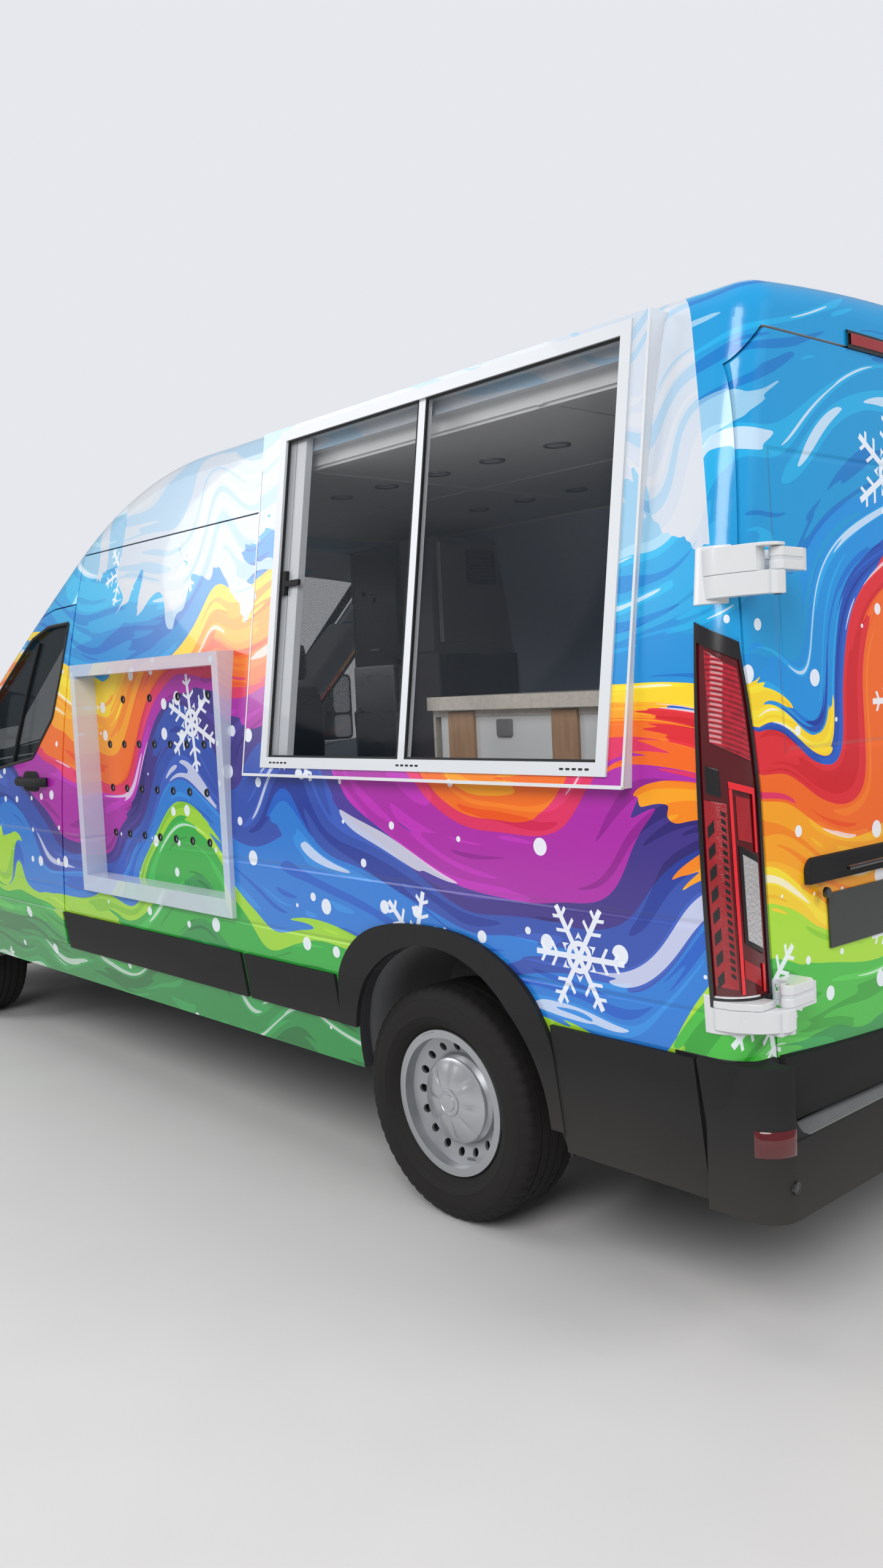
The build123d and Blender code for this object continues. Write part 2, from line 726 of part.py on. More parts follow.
def mirror_shape():
    """Tall mirror housing on two short arms from the door's front corner."""
    with BuildPart() as housing:
        with BuildSketch(Plane.XZ.offset(-1078)):
            with Locations((1440, 1500)):
                RectangleRounded(120, 390, 40)
        extrude(amount=-155)
        with BuildSketch(Plane.XZ.offset(-980)):
            with Locations((1450, 1345), (1450, 1450)):
                RectangleRounded(70, 44, 12)
        extrude(amount=-110)
    return less(housing.part, door_space)


door_space = cabin(-seat_gap)
mirror_left = mirror_shape()
for side in ("left", "right"):
    flip = mirrored if side == "right" else (lambda shape: shape)
    with BuildPart() as cab_door:
        add(flip(cab_door_shape))
        add(flip(door_clad))
    write(cab_door, "cab_door_" + side)
    with BuildPart() as cab_glass:
        add(flip(cab_glass_shape))
    write(cab_glass, "cab_glass_" + side)
    with BuildPart() as door_mirror:
        add(flip(mirror_left))
    write(door_mirror, "door_mirror_" + side)

# Rear doors
rear_door_shape = only(cabin_shell, along_x(rear_door_outline(0), rear_x - 50, rear_x + 200))
strap_shape = less(hinge_strap(), inner_cabin)
for side in ("left", "right"):
    flip = mirrored if side == "right" else (lambda shape: shape)
    with BuildPart() as rear_door:
        add(flip(rear_door_shape))
        add(flip(strap_shape))
    write(rear_door, "rear_door_" + side)

# Tail lamps
with BuildPart() as tail_lamps:
    lamp_shape = only(cabin_shell, lamp_zone)
    add(lamp_shape)
    add(mirrored(lamp_shape))
write(tail_lamps, "tail_lamps")

# Nose: bonnet, wings, bumper, grille and headlamps
bonnet_half = 740
bonnet_front_z = 1016
grille_half = 520
bumper_top_z = 640
grille_top_z = 1010
lamp_rear_x = 2566
lamp_base_z = 824
bumper_rear_x = front_axle_x + front_arch_radius + 8
wing_front_x = lamp_rear_x - seat_gap
nose_far = nose_x + 30
bonnet_rim = bonnet_half + door_gap
bonnet_zone = brick(bonnet_rear_x - 10, nose_far, -bonnet_half, bonnet_half, bonnet_front_z, 1500)
wing_zone = less(brick(cab_front_x + door_gap, wing_front_x, 700, far, frame_low_z + 10, 1500),
                 brick(cab_front_x, bonnet_rear_x - 11, 600, 925, 1000, 1600),
                 brick(bonnet_rear_x - 12, nose_far, 600, bonnet_rim, 1000, 1600),
                 brick(bumper_rear_x - 8, nose_far, 600, far + 100, 500, bumper_top_z + seat_gap),
                 front_arch_zone)
lamp_inner_y = grille_half + seat_gap
nose_lamp_zone = less(brick(lamp_rear_x, nose_far, lamp_inner_y, far, lamp_base_z + seat_gap, 1500),
                      brick(lamp_rear_x - 1, nose_far + 1, 400, bonnet_rim, grille_top_z, 1600))
cheek = brick(lamp_rear_x, nose_far, lamp_inner_y, far, bumper_top_z - 10, lamp_base_z)
with BuildPart() as bonnet:
    add(only(nose_shell, bonnet_zone))
write(bonnet, "bonnet")

wing_shape = only(nose_shell, wing_zone)
with BuildPart() as front_wings:
    add(wing_shape)
    add(mirrored(wing_shape))
write(front_wings, "front_wings")

headlamp_shape = only(nose_shell, nose_lamp_zone)
with BuildPart() as headlamps:
    add(headlamp_shape)
    add(mirrored(headlamp_shape))
write(headlamps, "headlamps")

intake = along_x([(-430, 400), (430, 400), (430, 560), (-430, 560)], 2700, nose_far, 30)
cheek_shape = only(nose_shell, cheek)
with BuildPart() as front_bumper:
    add(only(nose_shell, brick(bumper_rear_x, nose_far, -far, far, nose_base_z - 30, bumper_top_z)))
    add(cheek_shape)
    add(mirrored(cheek_shape))
    add(intake, mode=Mode.SUBTRACT)
    for bar_z in (428, 472, 516):
        add(only(nose_shell, brick(2700, nose_far, -435, 435, bar_z, bar_z + 14)))
write(front_bumper, "front_bumper")

slat_count = 6
grille_rim = 34
grille_base_z = bumper_top_z + seat_gap
slat_pitch = (grille_top_z - grille_base_z) / slat_count
grille_back = less(nose(12), inner_nose)
with BuildPart() as grille:
    add(only(nose_shell, brick(2700, nose_far, -grille_half, grille_half, grille_base_z, grille_top_z)))
    for number in range(slat_count):
        low = grille_base_z + number * slat_pitch + 18
        high = low + slat_pitch - 30
        add(brick(2600, nose_far, grille_rim - grille_half, grille_half - grille_rim, low, high),
            mode=Mode.SUBTRACT)
    for bar_y in (-330, -110, 110, 330):
        bar = brick(2700, nose_far, bar_y - 9, bar_y + 9, grille_base_z + 5, grille_top_z - 5)
        add(only(grille_back, bar))
write(grille, "grille")

# Lower cladding and arch flares
flare_base = [(-500, 600), (-500, 370), (440, 370), (428, 527)]
flare_arch = [(428, 527), (412, 640), (380, 735), (327, 801), (255, 850), (165, 880), (53, 895), (-80, 897),
              (-200, 884), (-300, 850), (-390, 797), (-455, 730), (-490, 660), (-500, 600)]
with BuildSketch(Plane.XZ.offset(-far)) as flare_face:
    with BuildLine():
        Polyline(*[(rear_axle_x + x, z) for x, z in flare_base])
        Spline(*[(rear_axle_x + x, z) for x, z in flare_arch])
    make_face()
with BuildPart() as flare_block:
    extrude(flare_face.sketch, amount=far - 600)
skin_flare = less(cabin(-flare_thick), seat_cabin)
rear_flare = less(only(skin_flare, flare_block.part), rear_arch_zone,
                  brick(rear_axle_x, 0, 600, far, 300, clad_base_z))


def strip(x_low, x_high):
    """Stretch of the left flank's cladding."""
    return only(clad_ring, brick(x_low, x_high, 600, far, 0, 3000))


flare_ring = cylinder_y(front_axle_x, tyre_radius, front_arch_radius + 56, 560, far)
front_flare_zone = brick(cab_front_x + 16, wing_front_x, 600, far, bumper_top_z + seat_gap, 1000)
front_flare = less(only(less(nose(-flare_thick), seat_nose), flare_ring, front_flare_zone), front_arch_zone)
arch_rear_x = rear_axle_x - 500.4
arch_front_x = rear_axle_x + 428.4
clad_rear_x = -2760
skirt_z = 335
skirt = along_x([(960, skirt_z), (988.8, skirt_z), (997, sill_z), (960, sill_z)], clad_rear_x, arch_rear_x)
rear_strip = only(less(door_skin, seat_cabin), brick(clad_rear_x, arch_rear_x, 600, far, 0, clad_top_z))
with BuildPart() as rear_skirt:
    add(rear_strip)
    add(skirt)
clad_left = (rear_skirt.part, strip(arch_front_x, slide_rear_x(clad_top_z, -8)),
             strip(slide_rear_x(clad_base_z, 6), cab_rear_x(clad_top_z, -12)), rear_flare, front_flare)
clad_right = (rear_skirt.part, strip(arch_front_x, cab_rear_x(clad_top_z, -12)), rear_flare, front_flare)
with BuildPart() as side_cladding:
    for piece in clad_left:
        add(piece)
    for piece in clad_right:
        add(mirrored(piece))
write(side_cladding, "side_cladding")

# Rear bumper with its step and raised corners
bumper_back_x = -2970
bumper_front_x = -2780
bumper_half = 1025
bumper_base_z = 332
step_z = 515
step_half = 950
bumper_wall = 40
bumper_block = along_z([(bumper_back_x, -bumper_half), (-2600, -bumper_half), (-2600, bumper_half),
                        (bumper_back_x, bumper_half)], bumper_base_z, clad_top_z, 80)
with BuildPart() as rear_bumper:
    add(bumper_block)
    add(brick(bumper_front_x, -2500, -far, far, 0, 3000), mode=Mode.SUBTRACT)
    add(brick(-3000, -2500, -step_half, step_half, step_z, 3000), mode=Mode.SUBTRACT)
    add(less(seat_cabin, brick(-3100, 3100, -far, far, 300, step_z)), mode=Mode.SUBTRACT)
    add(brick(bumper_back_x + 30, -2500, bumper_wall - bumper_half, bumper_half - bumper_wall, 0, step_z - 15),
        mode=Mode.SUBTRACT)
write(rear_bumper, "rear_bumper")

# Handle bar and blank plate on the left rear door
door_cover = less(cabin(-16), seat_cabin)
with BuildPart() as rear_door_handle:
    add(only(door_cover, brick(-3000, -2700, 60, 765, 1070, 1133)))
write(rear_door_handle, "rear_door_handle")
plate_cover = less(cabin(-6), seat_cabin)
with BuildPart() as number_plate:
    add(only(plate_cover, brick(-3000, -2700, 150, 675, 905, 1038)))
write(number_plate, "number_plate")

# Wheel-arch liners and mud flaps
liner_thick = 5
rear_liner_radius = arch_radius + 12
front_liner_radius = front_arch_radius + 2
front_liner_z = tyre_radius + 20
lined_nose = nose(wall + seat_gap)


def half_tube(x, z, radius, y_low):
    """Half tube over a wheel."""
    return less(cylinder_y(x, z, radius, y_low, far),
                cylinder_y(x, z, radius - liner_thick, y_low - 1, far + 1),
                brick(x - radius - 5, x + radius + 5, y_low - 2, far + 2, z - radius - 5, z - 20))


rear_liner = only(half_tube(arch_x, arch_centre_z, rear_liner_radius, 640), lined_cabin)
front_liner = less(only(half_tube(front_axle_x, front_liner_z, front_liner_radius, 560), lined_nose),
                   brick(1500, cab_front_x + 12, 950, far, 200, 900))
with BuildPart() as wheel_arch_liners:
    for piece in (rear_liner, front_liner):
        add(piece)
        add(mirrored(piece))
write(wheel_arch_liners, "wheel_arch_liners")

flap_x = rear_axle_x - 378
flap = along_y([(flap_x - 8, 497), (flap_x, 497), (flap_x - 97, 304), (flap_x - 105, 306)], 790, 950)
flap_arm = along_y([(flap_x - 71.9, 512), (flap_x - 8, 492), (flap_x, 500), (flap_x - 71.9, 522)], 800, 940)
with BuildPart() as mud_flaps:
    for piece in (flap, flap_arm):
        add(piece)
        add(mirrored(piece))
write(mud_flaps, "mud_flaps")

# Floor with its rear sill, and the rails and crossmembers that carry it
floor_low_z = floor_top_z - floor_thick
floor_rear_x = rear_x + 98
floor_front_x = bulkhead_x + 40
rear_tub = cylinder_y(arch_x, arch_centre_z, rear_liner_radius + seat_gap, 639.7, far)
front_tub = cylinder_y(front_axle_x, front_liner_z, front_liner_radius + seat_gap, 559.7, far)
with BuildPart() as floor_pan:
    add(only(brick(floor_rear_x, floor_front_x, -far, far, floor_low_z, floor_top_z), lined_cabin))
    add(brick(floor_rear_x, floor_rear_x + 30, -850, 850, 548, floor_low_z + 1))
    for tool in (rear_tub, mirrored(rear_tub), front_tub, mirrored(front_tub)):
        add(tool, mode=Mode.SUBTRACT)
write(floor_pan, "floor_pan")

rail_rear_x = bumper_front_x + 0.5
rail_front_x = 2780
rail_drop_x = 1700
rail_drop_z = rail_base_z - 60
spare_x = -2420
cross_xs = (spare_x, -1250, -500, 350, 1150)
cross_z = 590
horn_y = 600
jack_xs = (-600, -1000)
jack_y = (rail_inner_y + rail_outer_y) / 2
with BuildPart() as chassis_rails:
    for low_y, high_y in ((rail_inner_y, rail_outer_y), (-rail_outer_y, -rail_inner_y)):
        add(brick(rail_rear_x, rail_drop_x, low_y, high_y, rail_base_z, floor_low_z))
        add(brick(rail_drop_x - 1, rail_front_x, low_y, high_y, rail_drop_z, rail_drop_z + 140))
    for pad_x in jack_xs:
        for pad_y in (-jack_y, jack_y):
            add(brick(pad_x - 50, pad_x + 50, pad_y - 30, pad_y + 30, rail_base_z - 8, rail_base_z + 1))
    for cross_x in cross_xs:
        add(brick(cross_x - 35, cross_x + 35, -rail_inner_y - 1, rail_inner_y + 1, cross_z, floor_low_z))
    add(brick(rail_front_x - 60, rail_front_x, -horn_y, horn_y, rail_drop_z, rail_drop_z + 140))
    add(brick(rail_front_x - 60, rail_front_x, -horn_y, horn_y, 955, 995))
    for low_y in (-horn_y, horn_y - 40):
        add(brick(rail_front_x - 60, rail_front_x, low_y, low_y + 40, rail_drop_z, 995))
write(chassis_rails, "chassis_rails")

# Rear axle with its springs
axle_radius = 52
hub_y = track / 2 + hub_offset
drum_radius = 160
casing_radius = 165
flange_x = rear_axle_x + casing_radius + 40
spring_y = (rail_inner_y + rail_outer_y) / 2
spring_half = 650
spring_z = tyre_radius + axle_radius - 4
spring_eye_z = rail_base_z - 44
spring_points = [(-spring_half, spring_eye_z), (-200, spring_z), (200, spring_z),
                 (spring_half, spring_eye_z), (spring_half, spring_eye_z + 30), (200, spring_z + 38),
                 (-200, spring_z + 38), (-spring_half, spring_eye_z + 30)]
with BuildPart() as rear_axle:
    add(cylinder_y(rear_axle_x, tyre_radius, axle_radius, -790, 790))
    add(cylinder_y(rear_axle_x, tyre_radius, spindle_radius, 8 - hub_y, hub_y - 8))
    add(cylinder_y(rear_axle_x, tyre_radius, casing_radius, -120, 120))
    add(brick(rear_axle_x, flange_x, -55, 55, tyre_radius - 35, tyre_radius + 75))
    for low_y, high_y in ((785, 862), (-862, -785)):
        add(cylinder_y(rear_axle_x, tyre_radius, drum_radius, low_y, high_y))
    for y in (-spring_y, spring_y):
        add(along_y([(rear_axle_x + x, z) for x, z in spring_points], y - 35, y + 35))
        for end_x in (rear_axle_x - spring_half + 20, rear_axle_x + spring_half - 20):
            add(brick(end_x - 20, end_x + 20, y - 38, y + 38, spring_eye_z + 5, rail_base_z))
write(rear_axle, "rear_axle")

# Engine with its gearbox as plain blocks, and the shaft to the rear axle
engine_z = 430
gearbox_end_x = 1200
with BuildPart() as engine_block:
    add(brick(2100, 2640, -290, 290, engine_z, 1000))
    add(brick(gearbox_end_x, 2101, -150, 150, engine_z, 640))
    add(brick(2110, 2190, -rail_inner_y, rail_inner_y, rail_drop_z + 10, 540))
write(engine_block, "engine_block")

shaft_radius = 38
shaft_plane = Plane(origin=(gearbox_end_x + 100, 0, 515), z_dir=(-2820, 0, -142))
with BuildPart() as shaft_rod:
    with BuildSketch(shaft_plane):
        Circle(shaft_radius)
    extrude(amount=3200)
with BuildPart() as propeller_shaft:
    add(only(shaft_rod.part, brick(flange_x + 0.3, gearbox_end_x - 0.3, -100, 100, 200, 800)))
write(propeller_shaft, "propeller_shaft")

# Front subframe with upper and lower arms, and the knuckles between them
kingpin_y = 842
kingpin_radius = 12
arm_low_z = tyre_radius - 145
arm_high_z = tyre_radius + 115
arm_thick = 30
arm_half = 30
post_y = rail_outer_y
knuckle_half = 105


def arm_shape(low):
    """Arm from the subframe out to the kingpin on the left."""
    with BuildPart() as arm:
        with BuildSketch(Plane.XY.offset(low)):
            Polygon((front_axle_x - 60, post_y + 20), (front_axle_x + 60, post_y + 20),
                    (front_axle_x + arm_half, 700), (front_axle_x + arm_half, kingpin_y),
                    (front_axle_x - arm_half, kingpin_y), (front_axle_x - arm_half, 700), align=None)
            with Locations((front_axle_x, kingpin_y)):
                Circle(arm_half)
                Circle(kingpin_radius + running_gap, mode=Mode.SUBTRACT)
        extrude(amount=arm_thick)
    return arm.part


front_arms = (arm_shape(arm_low_z), arm_shape(arm_high_z))
with BuildPart() as front_subframe:
    add(brick(front_axle_x - 130, front_axle_x + 130, -post_y - 40, post_y + 40, arm_low_z - 5, 320))
    for low_y in (post_y, -post_y - 40):
        add(brick(front_axle_x - 60, front_axle_x + 60, low_y, low_y + 40, arm_low_z,
                  arm_high_z + arm_thick))
    for piece in front_arms:
        add(piece)
        add(mirrored(piece))
write(front_subframe, "front_subframe")

pin_half = 143
with BuildPart() as left_knuckle:
    with BuildSketch(Plane.XY.offset(tyre_radius - knuckle_half)):
        with Locations((front_axle_x, kingpin_y)):
            RectangleRounded(64, 50, 14)
    extrude(amount=2 * knuckle_half)
    with BuildSketch(Plane.XY.offset(tyre_radius - pin_half)):
        with Locations((front_axle_x, kingpin_y)):
            Circle(kingpin_radius)
    extrude(amount=2 * pin_half)
    add(cylinder_y(front_axle_x, tyre_radius, spindle_radius, kingpin_y, hub_y - 8))
knuckle_shapes = (("left", left_knuckle.part), ("right", mirrored(left_knuckle.part)))
for side, shape in knuckle_shapes:
    with BuildPart() as knuckle:
        add(shape)
    write(knuckle, "knuckle_" + side)

# Wheels, drawn for the left side with the outer face towards +Y
flange_radius = rim_radius + 15
half_rim = rim_width / 2
bore_radius = spindle_radius + running_gap
vent_count = 16
vent_radius = 13
vent_ring_radius = 161
rim_barrel = [(rim_radius - 9, -half_rim), (flange_radius, -half_rim), (flange_radius, -half_rim + 7),
              (rim_radius, -half_rim + 9), (rim_radius, half_rim - 9), (flange_radius, half_rim - 7),
              (flange_radius, half_rim), (rim_radius - 9, half_rim)]
rim_dish = [(bore_radius + 2, hub_offset - 16), (112, hub_offset - 16), (132, hub_offset - 30),
            (rim_radius - 8, hub_offset - 6), (rim_radius - 8, hub_offset + 2), (132, hub_offset - 20),
            (108, hub_offset), (bore_radius + 2, hub_offset)]
hub_sleeve = [(bore_radius, hub_offset - 48), (62, hub_offset - 48), (62, hub_offset - 6),
              (bore_radius, hub_offset - 6)]
hub_cap = [(0, hub_offset - 4), (124, hub_offset - 1), (124, hub_offset + 3), (108, hub_offset + 9),
           (78, hub_offset + 19), (44, hub_offset + 24), (36, hub_offset + 30), (0, hub_offset + 32)]
tread_half = 92
tyre_half = tyre_width / 2
bead_radius = rim_radius + 0.4
half_section = [(bead_radius, half_rim - 12), (flange_radius + 6, half_rim - 10),
                (flange_radius + 16, half_rim + 8), (tyre_radius - 78, tyre_half),
                (tyre_radius - 22, tyre_half - 12), (tyre_radius, tread_half)]
tyre_section = half_section + [(radius, -y) for radius, y in reversed(half_section)]


def turned(points):
    """Solid turned about a wheel's axle, its outline given in radius and Y from the wheel's middle."""
    with BuildSketch(Plane.XY) as drawn:
        with BuildLine():
            Polyline(*points, close=True)
        make_face()
    with BuildPart() as round_block:
        revolve(drawn.sketch, axis=Axis.Y)
    return round_block.part


with BuildPart() as vents:
    with BuildSketch(Plane.XZ.offset(-hub_offset - 60)):
        with PolarLocations(vent_ring_radius, vent_count):
            Circle(vent_radius)
    extrude(amount=120)
with BuildPart() as wheel_rim:
    for points in (rim_barrel, rim_dish, hub_sleeve):
        add(turned(points))
    add(vents.part, mode=Mode.SUBTRACT)
    add(turned(hub_cap))
tyre_shape = turned(tyre_section)
for end, axle_x in (("front", front_axle_x), ("rear", rear_axle_x)):
    for side, turn, y in (("left", 0, track / 2), ("right", 180, -track / 2)):
        with BuildPart() as rim:
            with Locations(Location((axle_x, y, tyre_radius), (0, 0, turn))):
                add(wheel_rim.part)
        write(rim, "rim_" + end + "_" + side)
        with BuildPart() as tyre:
            with Locations(Location((axle_x, y, tyre_radius), (0, 0, turn))):
                add(tyre_shape)
        write(tyre, "tyre_" + end + "_" + side)

# Spare wheel slung flat under the tail
spare_z = 372
with BuildPart() as spare_wheel:
    with BuildSketch(Plane.XY.offset(spare_z)):
        with Locations((spare_x, 0)):
            Circle(tyre_radius)
    extrude(amount=200)
    with BuildSketch(Plane.XY.offset(spare_z)):
        with Locations((spare_x, 0)):
            Circle(rim_radius - 10)
    extrude(amount=120, mode=Mode.SUBTRACT)
    with BuildSketch(Plane.XY.offset(spare_z + 190)):
        with Locations((spare_x, 0)):
            Circle(30)
    extrude(amount=cross_z - spare_z - 190)
write(spare_wheel, "spare_wheel")

# Fuel tank and exhaust
tank_y = -rail_outer_y - 4
with BuildPart() as fuel_tank:
    add(along_x([(tank_y - 330, 380), (tank_y, 380), (tank_y, 640), (tank_y - 330, 640)], -700, 250, 40))
    for strap_x in (-560, 110):
        add(brick(strap_x - 25, strap_x + 25, tank_y - 16, -rail_outer_y, 560, 620))
write(fuel_tank, "fuel_tank")

exhaust_y = 250
exhaust_z = 500
exhaust_reach = 2719.7
with BuildPart() as exhaust:
    with BuildSketch(Plane.YZ.offset(-620)):
        with Locations((exhaust_y, exhaust_z)):
            Circle(26)
    extrude(amount=exhaust_reach)
    with BuildSketch(Plane.YZ.offset(-1150)):
        with Locations((exhaust_y, exhaust_z - 10)):
            Ellipse(100, 72)
    extrude(amount=540)
    add(brick(-510, -490, exhaust_y - 6, exhaust_y + 6, exhaust_z + 20, cross_z))
write(exhaust, "exhaust")

# Cab fittings
dash_half = 855
dash_points = [(1480, 980), (1649.7, 980), (1649.7, 1180.3), (1880, 1180.3), (1880, 1212), (1620, 1262),
               (1510, 1240), (1480, 1150)]
with BuildPart() as dashboard:
    add(along_y(dash_points, -dash_half, dash_half))
write(dashboard, "dashboard")

driver_y = -420
wheel_plane = Plane(origin=(1400, driver_y, 1230), x_dir=(0, 1, 0), z_dir=(-0.5, 0, 0.866))
with BuildPart() as steering_wheel:
    with Locations(wheel_plane):
        Torus(185, 14)
        Cylinder(45, 40)
        Box(372, 34, 16)
        with Locations((0, 0, -90)):
            Cylinder(26, 180)
    add(brick(1479.7, 1700, -far, far, 800, 1400), mode=Mode.SUBTRACT)
write(steering_wheel, "steering_wheel")

seat_ys = (driver_y, 110, 590)
seat_back = [(905, 1010), (1010, 1060), (925, 1640), (845, 1640), (815, 1300)]
with BuildPart() as cab_seats:
    add(brick(900, 1330, driver_y - 210, driver_y + 210, floor_top_z, 960))
    add(brick(900, 1330, -110, 790, floor_top_z, 960))
    for seat_y in seat_ys:
        add(along_y([(860, 955), (1360, 955), (1360, 1040), (1310, 1085), (1000, 1065), (860, 1065)],
                    seat_y - 225, seat_y + 225))
        add(along_y(seat_back, seat_y - 215, seat_y + 215))
        add(along_y([(845, 1630), (925, 1630), (910, 1850), (850, 1850)], seat_y - 120, seat_y + 120))
write(cab_seats, "cab_seats")

# Kitchen fittings
ceiling_z = 2330
ceiling_rear_x = -2740
ceiling_front_x = 340
with BuildPart() as ceiling_lining:
    add(only(brick(ceiling_rear_x, ceiling_front_x, -far, far, ceiling_z, ceiling_z + 12), lined_cabin))
write(ceiling_lining, "ceiling_lining")

counter_top_z = 1550
counter_rear_x = rear_axle_x - 950
counter_front_x = rear_axle_x + 165
with BuildPart() as service_counter:
    add(along_z([(counter_rear_x, 350), (counter_front_x, 350), (counter_front_x, 860),
                 (counter_rear_x, 860)], counter_top_z - 40, counter_top_z, 60))
    add(brick(counter_rear_x + 60, counter_front_x - 30, 390, 830, floor_top_z, counter_top_z - 39))
    add(brick(counter_rear_x + 70, counter_front_x - 40, 410, 900, floor_top_z + 80, counter_top_z - 60),
        mode=Mode.SUBTRACT)
    add(cylinder_y(arch_x, arch_centre_z, rear_liner_radius + 1, 630, far), mode=Mode.SUBTRACT)
write(service_counter, "service_counter")

machine_rear_x = rear_axle_x + 1520
with BuildPart() as ice_machine:
    add(only(brick(machine_rear_x, machine_rear_x + 215, -far, -430, 1750, 2270), lined_cabin))
    add(only(brick(machine_rear_x, machine_rear_x + 215, -far, -450, floor_top_z, 1751), lined_cabin))
write(ice_machine, "ice_machine")

cabinet_rear_x = rear_axle_x + 1740
with BuildPart() as tall_cabinet:
    add(only(brick(cabinet_rear_x, cabinet_rear_x + 330, -far, -400, floor_top_z, 2250), lined_cabin))
    for low_z, high_z in ((1746, 1984), (2006, 2242)):
        add(brick(cabinet_rear_x + 12, cabinet_rear_x + 318, -404, -390, low_z, high_z), mode=Mode.SUBTRACT)
write(tall_cabinet, "tall_cabinet")
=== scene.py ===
from math import atan2, cos, pi, radians, sin, sqrt, tan

import bmesh
import bpy
from mathutils import Matrix, Vector


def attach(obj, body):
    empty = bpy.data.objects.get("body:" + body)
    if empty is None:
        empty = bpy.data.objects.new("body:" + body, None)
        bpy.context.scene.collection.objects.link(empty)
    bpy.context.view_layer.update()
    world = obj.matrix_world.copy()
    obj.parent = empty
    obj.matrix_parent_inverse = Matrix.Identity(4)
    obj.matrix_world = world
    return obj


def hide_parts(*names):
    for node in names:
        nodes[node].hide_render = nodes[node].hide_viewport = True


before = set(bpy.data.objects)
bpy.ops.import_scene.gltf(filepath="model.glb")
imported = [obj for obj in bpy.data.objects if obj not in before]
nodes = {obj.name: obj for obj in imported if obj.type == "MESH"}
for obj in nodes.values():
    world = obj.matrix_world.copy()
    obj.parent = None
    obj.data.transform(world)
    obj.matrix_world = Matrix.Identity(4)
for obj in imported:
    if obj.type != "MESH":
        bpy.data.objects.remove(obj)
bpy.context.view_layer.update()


# sums between shader sockets
class Wire:
    def __init__(self, sheet, socket):
        self.sheet = sheet
        self.socket = socket

    def do(self, operation, *others):
        return self.sheet.add("ShaderNodeMath", {"operation": operation}, [self, *others])

    def __add__(self, other):
        return self.do("ADD", other)

    def __radd__(self, other):
        return self.do("ADD", other)

    def __sub__(self, other):
        return self.do("SUBTRACT", other)

    def __rsub__(self, other):
        return self.sheet.add("ShaderNodeMath", {"operation": "SUBTRACT"}, [other, self])

    def __mul__(self, other):
        return self.do("MULTIPLY", other)

    def __rmul__(self, other):
        return self.do("MULTIPLY", other)

    def __truediv__(self, other):
        return self.do("DIVIDE", other)

    def __lt__(self, other):
        return self.do("LESS_THAN", other)

    def __gt__(self, other):
        return self.do("GREATER_THAN", other)

    def __abs__(self):
        return self.do("ABSOLUTE")


class Sheet:
    def __init__(self, block):
        block.use_nodes = True
        self.block = block
        self.tree = block.node_tree
        self.tree.nodes.clear()

    def add(self, kind, settings, inputs, output=0):
        node = self.tree.nodes.new(kind)
        for key, value in settings.items():
            if key == "stops":
                while len(node.color_ramp.elements) < len(value):
                    node.color_ramp.elements.new(1.0)
                for element, (place, colour) in zip(node.color_ramp.elements, value):
                    element.position = place
                    element.color = colour if len(colour) == 4 else (*colour, 1)
            elif key == "interpolation":
                node.color_ramp.interpolation = value
            else:
                setattr(node, key, value)
        pairs = inputs.items() if isinstance(inputs, dict) else enumerate(inputs)
        for key, value in pairs:
            if isinstance(value, Wire):
                self.tree.links.new(value.socket, node.inputs[key])
            elif value is not None:
                node.inputs[key].default_value = value
        self.last = node
        return Wire(self, node.outputs[output]) if node.outputs else None

    def place(self):
        return self.add("ShaderNodeTexCoord", {}, {}, "Object")

    def parts(self, vector):
        self.add("ShaderNodeSeparateXYZ", {}, {"Vector": vector})
        return [Wire(self, socket) for socket in self.last.outputs]

    def join(self, *parts):
        return self.add("ShaderNodeCombineXYZ", {}, parts)

    def clamp(self, value, low, high):
        return self.add("ShaderNodeClamp", {}, {"Value": value, "Min": low, "Max": high})

    def noise(self, vector, scale, detail=2.0, rough=0.5, bend=0.0):
        return self.add("ShaderNodeTexNoise", {}, {"Vector": vector, "Scale": scale, "Detail": detail,
                                                   "Roughness": rough, "Distortion": bend}, "Fac")

    def ramp(self, factor, stops):
        return self.add("ShaderNodeValToRGB", {"interpolation": "CONSTANT", "stops": stops}, {"Fac": factor})

    def mix(self, factor, first, second, blend="MIX"):
        return self.add("ShaderNodeMix", {"data_type": "RGBA", "blend_type": blend},
                        {0: factor, 6: first, 7: second}, 2)

    def step(self, value, low, high):
        return self.add("ShaderNodeMapRange", {"interpolation_type": "SMOOTHSTEP"},
                        {"Value": value, "From Min": low, "From Max": high})

    def bump(self, height, strength, distance):
        return self.add("ShaderNodeBump", {}, {"Height": height, "Strength": strength, "Distance": distance})

    def finish(self, **sockets):
        names = {"colour": "Base Color", "rough": "Roughness", "metal": "Metallic", "normal": "Normal",
                 "coat": "Coat Weight", "alpha": "Alpha", "ior": "IOR"}
        inputs = {names[key]: value for key, value in sockets.items()}
        self.add("ShaderNodeOutputMaterial", {}, {"Surface": self.add("ShaderNodeBsdfPrincipled", {}, inputs)})
        return self.block


def shade(colour, factor):
    return tuple(min(1, part * factor) for part in colour[:3]) + (1,)


roadDust = {"top": 0.62, "fade": 3.2, "colour": (0.085, 0.078, 0.064, 1)}


